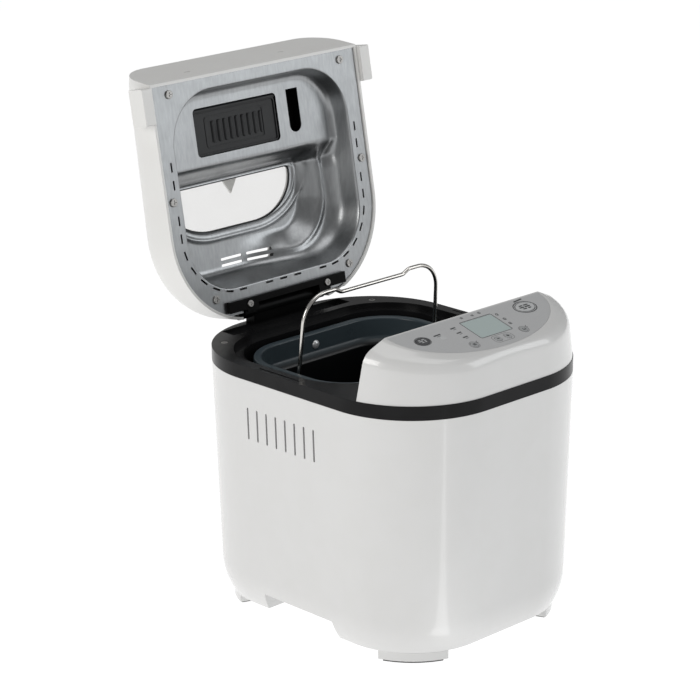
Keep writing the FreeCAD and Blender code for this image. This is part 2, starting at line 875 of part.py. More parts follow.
def pan_section(inset, z):
    return (pan_half_w - inset, pan_half_d - inset, max(pan_corner_r - inset, 8.0), z, pan_y)


def pan_solid(inset, floor_z, top_z):
    top, low, foot = pan_levels(inset)
    step_z = pan_lip_z - pan_step_drop
    upper = skin([pan_section(top, step_z), pan_section(top, top_z)])
    bevel = skin([pan_section(low, step_z - 4), pan_section(top, step_z)])
    lower = skin([pan_section(foot, floor_z), pan_section(low, step_z - 4)])
    return union([upper, bevel, lower])


def bread_pan():
    outside = pan_solid(0.0, pan_base_z, pan_lip_z - 0.5)
    lip = slab(pan_half_w, pan_half_d, pan_corner_r, pan_lip_z - pan_lip_drop, pan_lip_z, pan_y)
    under = slab(pan_half_w - pan_wall, pan_half_d - pan_wall, pan_corner_r - pan_wall,
                 pan_lip_z - pan_lip_drop - 1, pan_lip_z - pan_lip_t, pan_y)
    lip = lip.cut(under)
    inside = pan_solid(pan_wall, pan_base_z + pan_floor, pan_lip_z + 1)
    body = union([outside, lip]).cut(inside)
    body = body.cut(rod(seal_r, pan_base_z - 5, pan_base_z + 9, 0, pan_y))
    bore = bail_r + running_gap
    wide = pan_half_w + 5
    return body.cut(rod_x(bore, -wide, wide, pan_y, bail_pivot_z))


def pan_foot_ring():
    """Ring under the pan that stands it on the oven floor."""
    z0 = oven_floor_z + sheet + 0.3
    ring = tube(foot_ring_r, foot_ring_r - 2, z0, pan_base_z, 0, pan_y)
    return union([ring, tube(foot_ring_r + 5, foot_ring_r - 2, pan_base_z - 2, pan_base_z, 0, pan_y)])


pan_bearing_r = 12.0
seal_r = 9.0
pan_dog_z = dog_z + 3.8


def pan_bearing():
    """Bush under the pan that the paddle spindle turns in."""
    z0 = pan_base_z - 12.5
    body = rod(pan_bearing_r, z0, pan_base_z, 0, pan_y)
    flange = rod(20, pan_base_z - 2.5, pan_base_z, 0, pan_y)
    return union([body, flange]).cut(rod(spindle_r + running_gap, 0, 200, 0, pan_y))


def shaft_seal():
    z1 = pan_base_z + pan_floor + 2
    lip = tube(seal_r - 0.1, spindle_r + 0.1, pan_base_z, z1, 0, pan_y)
    return lip


def pan_rivets():
    """Two domed rivets in the middle of the pan's long walls."""
    pieces = []
    for side in (1, -1):
        y_in = pan_y + side * (pan_half_d - pan_lip_w - pan_wall)
        z = pan_lip_z - pan_step_drop / 2 - 1
        dome = Part.makeSphere(4.6, V(0, y_in + side * 2.4, z))
        clip_y0 = y_in - side * 5
        low, high = sorted((clip_y0, y_in))
        pieces.append(dome.common(block(-9, 9, low, high, z - 9, z + 9)))
    return Part.makeCompound(pieces)


def bail():
    """Round wire handle, a hoop with a dipped grip, leaning a little forward."""
    half = bail_half
    top = bail_top_half
    out = pan_half_w - 2.4
    z = bail_rise
    side = [V(out, 0, 0), V(half, 0, 0), V(top, 0, z), V(bail_flat_half + 7, 0, z)]
    grip = V(bail_flat_half, 0, z - bail_drop)
    points = side + [grip]
    points += [V(-p.x, p.y, p.z) for p in reversed(points)]
    radii = [4.5, bail_bend_r, 9, 9]
    hoop = wire_rod(points, radii + radii[::-1], bail_r)
    hoop.rotate(V(0, 0, 0), X, bail_lean)
    hoop.translate(V(0, pan_y, bail_pivot_z))
    return hoop


def bail_fold_angle():
    """How far the hoop folds forward before its legs rest on the pan's lip."""
    lip_r = pan_corner_r - pan_lip_w - pan_wall
    leg_x = (bail_half + bail_top_half) / 2 - (pan_half_w - pan_corner_r)
    reach = pan_half_d - pan_corner_r + math.sqrt(lip_r ** 2 - leg_x ** 2)
    height = bail_below_lip + bail_r + bail_rest_gap
    return 90 - bail_lean - math.degrees(math.atan(height / reach))


def pan_spindle():
    shaft = rod(spindle_r, pan_dog_z, pan_base_z + 30, 0, pan_y)
    flat = block(-6, 6, pan_y + spindle_r - 1.2, pan_y + 8, pan_base_z + 9, pan_base_z + 40)
    return shaft.cut(flat)


def pan_dog():
    """Upper half of the coupling, a bar that lies between the two lugs."""
    bar = block(-3.5, 3.5, pan_y - 12, pan_y + 12, pan_dog_z, pan_dog_z + 5)
    hub = rod(6.5, pan_dog_z, pan_dog_z + 5, 0, pan_y)
    return union([bar, hub]).cut(rod(spindle_r, 0, 200, 0, pan_y))


def circlip():
    z = pan_dog_z + 5.2
    ring = tube(6, spindle_r, z, z + 0.8, 0, pan_y)
    return ring.cut(block(-2, 2, pan_y, pan_y + 9, z - 1, z + 2))


def paddle():
    """Kneading blade on a hub with a flat in its bore."""
    z0 = pan_base_z + pan_floor + 4
    hub = rod(8.5, z0, z0 + 20, 0, pan_y)
    profile = [V(0, pan_y - 2, z0), V(46, pan_y + 3, z0), V(40, pan_y + 3, z0 + 16),
               V(20, pan_y, z0 + 34), V(6, pan_y - 2, z0 + 38), V(0, pan_y - 2, z0 + 24)]
    outline = [V(p.x, 0, p.z) for p in profile]
    blade = prism(outline, V(0, 4.5, 0))
    blade.translate(V(0, pan_y - 2.25, 0))
    bore = rod(spindle_r + 0.1, z0 - 1, pan_base_z + 30.3, 0, pan_y)
    return union([hub, blade]).cut(bore)


# ---------------------------------------------------------------- lid, drawn closed
def lid_front_y(t):
    """The lid's front wall leans out towards its top."""
    return lid_y(lid_front_s) - lid_front_lean * t / lid_front_rise


def lid_top_point():
    return lid_front_y(lid_front_rise), plate_z + lid_front_rise


def lid_top_angle():
    return math.degrees(math.atan(lid_top_slope))


def on_lid_top(shape):
    y, z = lid_top_point()
    return tilted(shape, y, z, lid_top_angle())


def lid_solid(shrink, t0):
    """Outside shape of the lid; shrink draws every face in."""
    a = half_width - shrink
    solid = slab(a, half_depth - shrink, corner_r - shrink, plate_z + t0, plate_z + 90)
    solid = solid.cut(on_lid_top(block(-300, 300, -400, 600, -shrink, 200)))
    tilt = math.radians(lid_top_angle())
    up = V(0, -math.sin(tilt), math.cos(tilt))
    top = [f for f in solid.Faces if f.normalAt(0, 0).getAngle(up) < 0.01][0]
    solid = solid.makeFillet(lid_round - shrink, top.Edges)
    t1 = 90
    front = prism([V(-300, lid_front_y(t0 - 5) + shrink, plate_z + t0 - 5),
                   V(-300, lid_front_y(t1) + shrink, plate_z + t1),
                   V(-300, -400, plate_z + t1), V(-300, -400, plate_z + t0 - 5)], V(600, 0, 0))
    return solid.cut(front)


def window_solid(grow, t0, t1):
    """D-shaped window: straight edge to the front, round to the hinge."""
    s_mid = (window_s0 + window_s1) / 2
    half_s = (window_s1 - window_s0) / 2 + grow
    body = slab(window_half + grow, half_s, window_r + grow, plate_z + t0, plate_z + t1, lid_y(s_mid))
    square = lid_block(-window_half - grow, window_half + grow, s_mid + half_s - 16, s_mid + half_s, t0, t1)
    corner = slab(window_half + grow, half_s, 6 + grow, plate_z + t0, plate_z + t1, lid_y(s_mid))
    return union([body, square.common(corner)])


lid_screw_places = [(101.4, 203.0), (112.9, 111.0), (80.8, 19.0)]


def cover_recess(grow, w0, w1):
    x0, x1 = cover_x()[0] - grow, cover_x()[1] + grow
    v0 = lid_front_s - cover_s1 - grow
    v1 = lid_front_s - cover_s0 + grow
    return block(x0, x1, v0, v1, w0, w1)


cover_s0 = 129.0
cover_s1 = 202.0
cover_hinge_gap = 2.0
cover_pip_r = 0.45
cover_pip_len = 1.5
cover_tab_x = -5.0
cover_tab_half = 8.0
cover_tab_s = 100.0


def lid_outer():
    shell = lid_solid(0.0, 0.0).cut(lid_solid(wall, -1.0))
    bosses = []
    room = lid_solid(1.0, 0.0)
    for x, s in lid_screw_places:
        boss = rod(4.5, plate_z + liner_in + sheet, plate_z + 80, x, lid_y(s)).common(room)
        bosses += pair(boss)
    shell = union([shell] + bosses)
    for x, s in lid_screw_places:
        for hole in pair(rod(1.5, plate_z - 1, plate_z + 14, x, lid_y(s))):
            shell = shell.cut(hole)
    shell = shell.cut(block(-52, 52, lid_y(13), lid_y(-20), plate_z - 1, plate_z + hinge_rise + 10.5))
    shell = shell.cut(block(-300, 300, hinge_y, hinge_y + 30, plate_z - 1, plate_z + hinge_relief))
    shell = shell.cut(window_solid(2.0, 30, 90))
    for x0, x1 in ((-24.0, 2.0), (6.0, 32.0)):
        for s in (34.0, 40.0):
            shell = shell.cut(lid_block(x0, x1, s - 1.6, s + 1.6, 40, 90))
    shell = shell.cut(on_lid_top(cover_recess(0.3, -cover_t - cover_floor_gap, 5)))
    shell = shell.cut(on_lid_top(cover_tab(0.4, -wall - 1, 5)))
    shell = shell.cut(lid_block(hopper_x0, hopper_x1, hopper_s0, hopper_s1, 30, 90))
    tab = block(half_width + 0.6, half_width + tab_out, lid_y(tab_s1), lid_y(tab_s0),
                plate_z - tab_drop, plate_z + tab_rise)
    corners = [e for e in tab.Edges if e.BoundBox.XMin > half_width + tab_out - 0.01]
    tab = tab.makeFillet(3.5, corners)
    root = block(half_width - 4, half_width + 1, lid_y(tab_s1), lid_y(tab_s0), plate_z + 1,
                 plate_z + tab_rise).cut(lid_solid(wall, -1.0))
    tabs = pair(union([tab, root]))
    for x in (-54.4, 54.4):
        shell = shell.cut(block(x - 3.2, x + 3.2, lid_front_y(30) - 4, lid_front_y(30) + 5,
                                plate_z + 29.2, plate_z + 30.8))
    pips = on_lid_top(cover_hinge_line(cover_pip_r + running_gap, cover_pip_len + 0.3))
    return union([shell] + tabs).cut(pips)


def cover_x():
    return hopper_x0 - 6, hopper_x1 + 6


def cover_hinge_v():
    return lid_front_s - cover_s1 + cover_hinge_gap


def cover_hinge_line(r, beyond):
    """Hinge line of the hopper cover, inside the cover's thickness."""
    x0, x1 = cover_x()
    start = V(x0 - beyond, cover_hinge_v(), -cover_t / 2)
    return Part.makeCylinder(r, x1 - x0 + 2 * beyond, start, X)


def cover_tab(grow, w0, w1):
    """Pointed finger tab that reaches over the window."""
    v1 = lid_front_s - cover_s0
    half = cover_tab_half + grow
    tip = lid_front_s - cover_tab_s + grow * 2
    return prism([V(cover_tab_x - half, v1 - 1, w0), V(cover_tab_x + half, v1 - 1, w0),
                  V(cover_tab_x, tip, w0)], V(0, 0, w1 - w0))


def hopper_cover():
    """Cover of the ingredients hopper, with a pointed finger tab over the window."""
    x0, x1 = cover_x()
    plate = block(x0, x1, cover_hinge_v(), lid_front_s - cover_s0, -cover_t, 0)
    pieces = [plate, cover_tab(0.0, -cover_t, 0.0), cover_hinge_line(cover_t / 2, 0.0),
              cover_hinge_line(cover_pip_r, cover_pip_len)]
    return on_lid_top(union(pieces))


def cover_hinge_point():
    """Place on the cover's hinge line, with the lid closed."""
    box = on_lid_top(cover_hinge_line(cover_pip_r, 0.0)).BoundBox
    return V(0, box.Center.y, box.Center.z)


def pocket_solid(grow):
    """Hollow of the lid's pressed liner: a raised platform, a shelf and a deep floor."""
    mid_s = (pocket_back_s + pocket_front_s) / 2
    half_s = (pocket_front_s - pocket_back_s) / 2
    def section(inset, t, front):
        low = pocket_back_s + inset - grow
        high = front - inset + grow
        return (pocket_half - inset + grow, (high - low) / 2, pocket_r - inset + grow,
                plate_z + t, lid_y((low + high) / 2))
    mouth = slab(pocket_half + grow, half_s + grow, pocket_r + grow, plate_z - 1, plate_z + 2,
                 lid_y(mid_s))
    upper = skin([section(0, 1, pocket_front_s), section(4, platform_t + grow, pocket_front_s)])
    half = lid_block(-300, 300, -100, platform_s + grow, -10, 90)
    shelf = skin([section(3.5, platform_t - 2, pocket_front_s),
                  section(9, shelf_t + grow, pocket_front_s)]).common(half)
    deep = skin([(pocket_half - 19 + grow, (platform_s - 33) / 2 + grow, 44 + grow,
                  plate_z + shelf_t - 4, lid_y((platform_s + 33) / 2)),
                 (pocket_half - 25 + grow, (platform_s - 49) / 2 + grow, 38 + grow,
                  plate_z + pocket_t + grow, lid_y((platform_s + 25) / 2))])
    return union([mouth, upper, shelf, deep])


def dash_places():
    """Centres and directions of the slots in the liner's flange, along its pocket."""
    side = pocket_half + 6.5
    back = pocket_back_s - 3.0
    bend = 56.0
    flat = side - bend
    quarter = bend * math.pi / 2
    places = []
    for step in range(14):
        run = 17.2 + 15.6 * (step - 1) if step else 0.0
        if step in (2, 11):
            continue
        if run < flat:
            spot = (run, back, 0.0)
        elif run < flat + quarter:
            turn = (run - flat) / bend
            spot = (flat + bend * math.sin(turn), back + bend - bend * math.cos(turn), turn)
        else:
            spot = (side, back + bend + run - flat - quarter, math.pi / 2)
        places.append(spot)
        if step:
            places.append((-spot[0], spot[1], -spot[2]))
    return places


def lid_liner():
    d = wall + 0.2
    z0 = plate_z + liner_in
    flange = slab(half_width - d, half_depth - d, corner_r - d, z0, z0 + sheet)
    flange = flange.cut(block(-300, 300, -400, lid_front_y(0) + wall + 0.4, plate_z - 5, plate_z + 5))
    flange = flange.cut(block(-300, 300, lid_y(1.0), 400, plate_z - 5, plate_z + 5))
    flange = flange.cut(block(-52, 52, lid_y(12.5), 400, plate_z - 5, plate_z + 5))
    pressing = pocket_solid(sheet).common(block(-300, 300, -400, 400, z0, z0 + 90))
    liner = union([flange, pressing]).cut(pocket_solid(0.0))
    liner = liner.cut(window_solid(0.0, 30, 60))
    liner = liner.cut(lid_block(hopper_x0, hopper_x1, hopper_s0, hopper_s1, platform_t - 3, platform_t + 5))
    slot_s = [s for s in (152.0, 184.5)]
    slot = union([lid_block(48, 62, slot_s[0], slot_s[1], platform_t - 3, platform_t + 5),
                  rod(7, plate_z + platform_t - 3, plate_z + platform_t + 5, 55, lid_y(slot_s[0]))])
    liner = liner.cut(slot)
    for x0, x1 in ((-30.0, -5.5), (-0.5, 25.0)):
        for s in (38.5, 44.2):
            liner = liner.cut(lid_block(x0, x1, s - 1.2, s + 1.2, shelf_t - 6, pocket_t + 5))
    for x, s, turn in dash_places():
        dash = block(-4.2, 4.2, -0.9, 0.9, plate_z - 2, plate_z + 4)
        dash.rotate(V(0, 0, 0), Z, -math.degrees(turn))
        liner = liner.cut(placed(dash, x, lid_y(s), 0))
    for x, s in lid_screw_places:
        for hole in pair(rod(1.8, plate_z - 2, plate_z + 4, x, lid_y(s))):
            liner = liner.cut(hole)
    return liner


def lid_screws():
    one = screw(3.8, liner_in - 0.1, 1.45, 10.0)
    one.rotate(V(0, 0, 0), X, 180)
    pieces = []
    for x, s in lid_screw_places:
        pieces += pair(placed(one, x, lid_y(s), plate_z + liner_in))
    return Part.makeCompound(pieces)


def window_gasket():
    ring = window_solid(9.0, pocket_t + sheet, pocket_t + sheet + 2.7)
    ring = ring.cut(window_solid(3.0, pocket_t - 1, pocket_t + 9))
    return ring.cut(window_solid(6.05, pocket_t + sheet + 0.5, pocket_t + 9))


def window_pane():
    return window_solid(6.0, pocket_t + sheet + 0.5, pocket_t + sheet + 0.5 + pane_t)


flap_s = hopper_s1 - 2.8
flap_axis_t = platform_t + sheet + 2.6


def hopper():
    """Ingredients hopper: four walls between the liner's platform and the lid's top."""
    top_t = lid_front_rise + (lid_front_s + lid_front_lean - hopper_s1) * lid_top_slope - wall - 0.6
    w = hopper_wall
    outside = lid_block(hopper_x0 - w, hopper_x1 + w, hopper_s0 - w, hopper_s1 + w,
                        platform_t + sheet, top_t)
    inside = lid_block(hopper_x0, hopper_x1, hopper_s0, hopper_s1, platform_t - 5, top_t + 5)
    channel = lid_block(hopper_x1 + w - 0.5, 66, 143, 188, platform_t + sheet, platform_t + 14)
    body = union([outside.cut(inside), channel.cut(lid_block(47, 63, 145.2, 185.8, 0, platform_t + 11))])
    return body.cut(flap_line(flap_pin_r + 0.02, 5.0))


def flap_line(r, beyond):
    return rod_x(r, hopper_x0 - beyond, hopper_x1 + beyond, lid_y(flap_s), plate_z + flap_axis_t)


def flap_pin():
    return flap_line(flap_pin_r, hopper_wall)


def hopper_flap():
    """Drop flap under the hopper, ribbed on the side that faces the pan."""
    x0, x1 = hopper_x0 + 0.6, hopper_x1 - 0.6
    t0 = flap_axis_t - flap_t / 2
    plate = lid_block(x0, x1, hopper_s0 + 0.6, flap_s, t0, t0 + flap_t)
    knuckle = rod_x(2.4, x0, x1, lid_y(flap_s), plate_z + flap_axis_t)
    ribs = []
    count = 9
    for i in range(count):
        x = hopper_x0 + 15 + (hopper_x1 - hopper_x0 - 28) * i / (count - 1)
        ribs.append(lid_block(x - 1.5, x + 1.5, hopper_s0 + 9, flap_s - 8, t0 - 1.2, t0 + 0.5))
    return union([plate, knuckle] + ribs).cut(flap_line(flap_pin_r + running_gap, 5.0))


def hinge_plate():
    half = hinge_plate_half
    plate = lid_block(-half, half, 4.0, hinge_plate_s, -hinge_plate_t, liner_in)
    mid = lid_block(-hinge_arm_out, hinge_arm_out, 2.0, hinge_plate_s, -hinge_plate_t, liner_in)
    plate = union([plate, mid]).cut(lid_block(-36.8, 36.8, 0, 8.2, -hinge_plate_t - 1, 5))
    arm = lid_block(hinge_arm_in, hinge_arm_out, -1.0, 12.0, 1.0, hinge_rise)
    knuckle = rod_x(hinge_r, hinge_arm_in, hinge_arm_out, hinge_y, hinge_z)
    arms = pair(union([arm, knuckle]))
    body = union([plate] + arms).cut(rod_x(hinge_pin_r + 0.02, -60, 60, hinge_y, hinge_z))
    for x in (-46.8, 46.8):
        body = body.cut(rod(1.6, plate_z - 9, plate_z + 5, x, lid_y(8.5)))
    return body


def hinge_screws():
    one = screw(3.2, hinge_screw_head, 1.55, 6.5)
    one.rotate(V(0, 0, 0), X, 180)
    z = plate_z - hinge_plate_t
    return Part.makeCompound([placed(one, x, lid_y(8.5), z) for x in (-46.8, 46.8)])


def hinge_block():
    """Fixed knuckle between the lid's two hinge arms."""
    stem = block(-36, 36, hinge_y - 5.5, hinge_y + 5.5, rim_z, hinge_z)
    knuckle = rod_x(hinge_r, -36, 36, hinge_y, hinge_z)
    return union([stem, knuckle]).cut(rod_x(hinge_pin_r + running_gap, -60, 60, hinge_y, hinge_z))


def hinge_pin():
    return rod_x(hinge_pin_r, -hinge_arm_out, hinge_arm_out, hinge_y, hinge_z)


# ---------------------------------------------------------------- assembly
fixed_nodes = {
    "outer_shell": outer_shell,
    "base_plate": base_plate,
    "feet": feet,
    "foot_pads": foot_pads,
    "collar": collar,
    "collar_screws": collar_screws,
    "cord_gland": cord_gland,
    "oven_liner": oven_liner,
    "heating_element": heating_element,
    "element_clips": element_clips,
    "temperature_probe": temperature_probe,
    "pan_clips": pan_clips,
    "drive_bearing": drive_bearing,
    "motor_bracket": motor_bracket,
    "bracket_screws": bracket_screws,
    "drive_belt": drive_belt,
    "motor_frame": motor_frame,
    "motor_stator": motor_stator,
    "power_board": power_board,
    "control_housing": control_housing,
    "panel_overlay": panel_overlay,
    "lcd_window": lcd_window,
    "lcd_module": lcd_module,
    "indicator_lens": indicator_lens,
    "control_board": control_board,
    "hinge_block": hinge_block,
    "drive_shaft": drive_shaft,
    "drive_dog": drive_dog,
    "drive_pulley": drive_pulley,
    "motor_rotor": motor_rotor,
    "motor_pulley": motor_pulley,
    "cooling_fan": cooling_fan,
    "bread_pan": bread_pan,
    "pan_rivets": pan_rivets,
    "pan_foot_ring": pan_foot_ring,
    "pan_bearing": pan_bearing,
    "shaft_seal": shaft_seal,
    "pan_spindle": pan_spindle,
    "pan_dog": pan_dog,
    "circlip": circlip,
    "paddle": paddle,
    "bail": bail,
}

lid_nodes = {
    "lid_outer": lid_outer,
    "lid_liner": lid_liner,
    "lid_screws": lid_screws,
    "window_pane": window_pane,
    "window_gasket": window_gasket,
    "hopper": hopper,
    "flap_pin": flap_pin,
    "hopper_flap": hopper_flap,
    "hopper_cover": hopper_cover,
    "hinge_plate": hinge_plate,
    "hinge_screws": hinge_screws,
    "hinge_pin": hinge_pin,
}


def build_nodes():
    """Every node's shape at rest: lid open, pan seated, bail up."""
    shapes = {name: make() for name, make in fixed_nodes.items()}
    for name in key_places:
        shapes[name] = key_cap(name)
    for name, make in lid_nodes.items():
        shapes[name] = open_lid(make())
    return shapes


def frame_shift(shapes):
    """Move that puts the origin under the middle of the overall box."""
    box = Part.makeCompound(list(shapes.values())).optimalBoundingBox(False, False)
    return V(0, -(box.YMin + box.YMax) / 2, -box.ZMin)


def main():
    os.makedirs("parts", exist_ok=True)
    shapes = build_nodes()
    shift = frame_shift(shapes)
    for name, shape in shapes.items():
        shape.translate(shift)
        shape.exportStep("parts/" + name + ".step")
    return shapes, shift


nodes, shift = main()
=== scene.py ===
import json
import math

import bmesh
import bpy
import numpy as np
from mathutils import Matrix, Vector


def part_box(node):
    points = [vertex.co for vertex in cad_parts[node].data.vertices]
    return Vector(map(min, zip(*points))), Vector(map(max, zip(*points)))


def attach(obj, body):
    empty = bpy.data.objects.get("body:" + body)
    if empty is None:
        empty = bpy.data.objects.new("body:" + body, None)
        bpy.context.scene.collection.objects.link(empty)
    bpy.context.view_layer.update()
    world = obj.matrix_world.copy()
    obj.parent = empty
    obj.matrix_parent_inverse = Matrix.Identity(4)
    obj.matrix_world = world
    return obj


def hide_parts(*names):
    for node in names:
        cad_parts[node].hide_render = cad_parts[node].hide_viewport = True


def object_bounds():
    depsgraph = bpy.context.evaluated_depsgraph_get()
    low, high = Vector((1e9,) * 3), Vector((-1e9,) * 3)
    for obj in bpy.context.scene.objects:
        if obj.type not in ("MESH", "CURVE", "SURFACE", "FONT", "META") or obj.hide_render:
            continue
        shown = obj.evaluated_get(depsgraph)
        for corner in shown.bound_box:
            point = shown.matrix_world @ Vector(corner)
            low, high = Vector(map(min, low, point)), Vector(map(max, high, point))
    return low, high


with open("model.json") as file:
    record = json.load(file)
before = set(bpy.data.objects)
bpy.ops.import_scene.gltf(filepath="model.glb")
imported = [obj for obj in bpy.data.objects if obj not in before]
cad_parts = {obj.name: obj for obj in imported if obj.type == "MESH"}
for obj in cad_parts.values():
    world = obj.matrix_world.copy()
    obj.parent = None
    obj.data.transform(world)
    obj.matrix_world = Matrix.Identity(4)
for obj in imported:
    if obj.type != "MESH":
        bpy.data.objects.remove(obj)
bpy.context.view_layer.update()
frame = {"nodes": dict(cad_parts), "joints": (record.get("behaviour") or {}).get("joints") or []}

# ---- places and sizes, in millimetres
MM = 0.001
shell_low, shell_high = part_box("outer_shell")
collar_low, collar_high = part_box("collar")
pan_low, pan_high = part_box("bread_pan")
pivots = {joint["name"]: joint.get("pos_m") for joint in frame["joints"]}

middle_y = (shell_low.y + shell_high.y) / 2 / MM
half_width = collar_high.x / MM
half_depth = (collar_high.y - collar_low.y) / 2 / MM
corner_r = 85.0
wall = 2.5
base_z = shell_low.z / MM
band_z = shell_high.z / MM
rim_z = collar_high.z / MM

side_taper = 0.03
base_curve_h = 30.0
base_curve_in = 8.0
vent_count, vent_pitch, vent_w, vent_h = 8, 11.6, 2.0, 28.6
vent_below_rim, vent_mid_y = 37.0, 10.5
grip_len, grip_slope, grip_h, grip_depth, grip_mid_y = 84.0, 3.0, 16.0, 20.0, -1.0

pan_half_w = pan_high.x / MM
pan_half_d = (pan_high.y - pan_low.y) / 2 / MM
pan_y = (pan_low.y + pan_high.y) / 2 / MM - middle_y
pan_base_z = pan_low.z / MM
pan_lip_z = pan_high.z / MM
pan_corner_r = 50.0
pan_wall, pan_floor = 2.0, 2.5
pan_lip_w, pan_lip_t, pan_lip_drop = 5.0, 2.5, 7.0
pan_step_drop, pan_step_in = 20.0, 5.5
pan_draft, pan_bend, pan_seal_r = 6.0, 9.0, 9.0

mouth_a = pan_half_w + 6.0
mouth_b = pan_half_d + 6.0
mouth_r = 50.0
ledge_w = 8.5
ledge_drop = 5.0

housing_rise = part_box("control_housing")[1].z / MM - rim_z
housing_back_y = -80.5
housing_back_slope = 0.106
housing_inset = 0.5
housing_crease_in = 4.3
housing_crease_rises = (39.3, 34.2, 31.0)
panel_slope = 0.28
overlay_half_w = 91.5
overlay_len = 53.0
overlay_margin = 1.5
overlay_t = 1.0
crown_margin = 1.2
lcd_x, lcd_v, lcd_w, lcd_l = 4.0, -23.5, 36.5, 26.0
lamp_x, lamp_v, lamp_r = -45.3, -21.8, 3.0
front_row_v = 12.5 - overlay_margin - overlay_len
key_gap = 0.3
ink_t = 0.06

hinge_y = pivots["lid_hinge"][1] / MM - middle_y
hinge_z = pivots["lid_hinge"][2] / MM
lid_open = 100.0
plate_z = rim_z + 0.5
lid_front_s = 214.0
lid_front_rise = 46.5
lid_top_slope = 0.035
lid_front_lean = 11.0
lid_round = 30.0
liner_in = 1.6
sheet = 0.8
pocket_back_s, pocket_front_s = 25.0, 201.0
pocket_half, pocket_r = 103.0, 48.0
platform_t, platform_s = 20.0, 131.0
shelf_t, pocket_t = 30.0, 44.0
window_x, window_half = -13.8, 74.4
window_s0, window_s1 = 70.5, 114.2
window_bend_x, window_bend_s = 50.0, 37.0
window_small_r = 5.0
pane_t0, pane_t1 = 45.3, 47.4
pane_over, gasket_over = 6.0, 9.0
hopper_x0, hopper_x1 = -62.8, 35.2
hopper_s0, hopper_s1 = 141.0, 184.0
cover_t = 1.4
screw_spots = ((101.4, 203.0), (112.9, 111.0), (80.8, 19.0))
bail_r = 1.75
bail_z = pivots["bail_hinge"][2] / MM

# from the maker's millimetres to the shared frame
stand = Matrix.Translation((0, middle_y * MM, 0)) @ Matrix.Scale(MM, 4)
hinge = Matrix.Translation((0, hinge_y, hinge_z))
swing = hinge @ Matrix.Rotation(math.radians(-lid_open), 4, "X") @ hinge.inverted()
lid_stand = stand @ swing
housing_top_y = housing_back_y - housing_back_slope * housing_rise
housing_top_z = rim_z + housing_rise
on_panel = (stand @ Matrix.Translation((0, housing_top_y, housing_top_z))
            @ Matrix.Rotation(math.atan(panel_slope), 4, "X"))
lid_top_y = hinge_y - lid_front_s - lid_front_lean
on_lid_top = (Matrix.Translation((0, lid_top_y, plate_z + lid_front_rise))
              @ Matrix.Rotation(math.atan(lid_top_slope), 4, "X"))


# ---- mesh tools
def rework(mesh, change):
    work = bmesh.new()
    work.from_mesh(mesh)
    change(work)
    work.to_mesh(mesh)
    work.free()


def form(name, points, faces):
    """A closed or open mesh in millimetres, its faces turned outward."""
    mesh = bpy.data.meshes.new(name)
    mesh.from_pydata([tuple(float(c) for c in p) for p in points], [], faces)
    rework(mesh, lambda work: bmesh.ops.recalc_face_normals(work, faces=work.faces))
    obj = bpy.data.objects.new(name, mesh)
    bpy.context.scene.collection.objects.link(obj)
    return obj


def settle(obj):
    """Turns the modifiers of a piece into its mesh."""
    graph = bpy.context.evaluated_depsgraph_get()
    mesh = bpy.data.meshes.new_from_object(obj.evaluated_get(graph))
    obj.modifiers.clear()
    old, obj.data = obj.data, mesh
    bpy.data.meshes.remove(old)
    return obj


def scrap(obj):
    mesh = obj.data
    bpy.data.objects.remove(obj)
    bpy.data.meshes.remove(mesh)


def joined(name, parts):
    """Several loose forms as one."""
    points, faces, start = [], [], 0
    for part in parts:
        points += [tuple(v.co) for v in part.data.vertices]
        faces += [tuple(start + i for i in f.vertices) for f in part.data.polygons]
        start = len(points)
        scrap(part)
    return form(name, points, faces)


def boolean(obj, tools, action="DIFFERENCE"):
    tool = joined(obj.name + "_tool", tools)
    cut = obj.modifiers.new("cut", "BOOLEAN")
    cut.operation = action
    cut.solver = "MANIFOLD"
    cut.object = tool
    settle(obj)
    scrap(tool)
    return obj


def tidy(obj):
    """Merges doubled points left by a cut."""
    rework(obj.data, lambda work: bmesh.ops.remove_doubles(work, verts=work.verts, dist=0.002))
    rework(obj.data, lambda work: bmesh.ops.dissolve_degenerate(work, edges=work.edges, dist=0.001))


def soften(obj, width, segments=2, angle=32.0):
    """Rounds the sharp edges of a form."""
    tidy(obj)
    edge = obj.modifiers.new("edge", "BEVEL")
    edge.width = width
    edge.segments = segments
    edge.limit_method = "ANGLE"
    edge.angle_limit = math.radians(angle)
    edge.use_clamp_overlap = True
    edge.miter_outer = "MITER_ARC"
    return settle(obj)


def dress(obj, place, body, finish, replaced=(), crisp=38.0):
    """Puts a finished form in the frame, on its body and in its finish."""
    obj.data.transform(place)
    obj.data.shade_smooth()
    obj.data.set_sharp_from_angle(angle=math.radians(crisp))
    even = obj.modifiers.new("even", "WEIGHTED_NORMAL")
    even.keep_sharp = True
    obj.data.materials.clear()
    obj.data.materials.append(finish)
    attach(obj, body)
    if replaced:
        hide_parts(*replaced)
    return obj


def arc(steps, first=0.0, span=90.0):
    """Cosines and sines of evenly spaced turns, given in degrees."""
    turns = [math.radians(first + span * i / steps) for i in range(steps + 1)]
    return [(math.cos(a), math.sin(a)) for a in turns]


def outline(a, b, r, corner=20, side=1, cy=0.0):
    """Rounded rectangle as points, the same count for every size."""
    r = max(min(r, a - 0.2, b - 0.2), 0.05)
    bends = []
    for quarter, (sx, sy) in enumerate(((1, 1), (-1, 1), (-1, -1), (1, -1))):
        x, y = sx * (a - r), sy * (b - r) + cy
        bends.append([(x + r * c, y + r * s) for c, s in arc(corner, 90 * quarter)])
    points = []
    for bend, after in zip(bends, bends[1:] + bends[:1]):
        (x0, y0), (x1, y1) = bend[-1], after[0]
        points += bend + [(x0 + (x1 - x0) * i / side, y0 + (y1 - y0) * i / side) for i in range(1, side)]
    return points


def quads(low, high):
    """Faces between two closed rows of point numbers."""
    return [(low[i - 1], low[i], high[i], high[i - 1]) for i in range(len(low))]


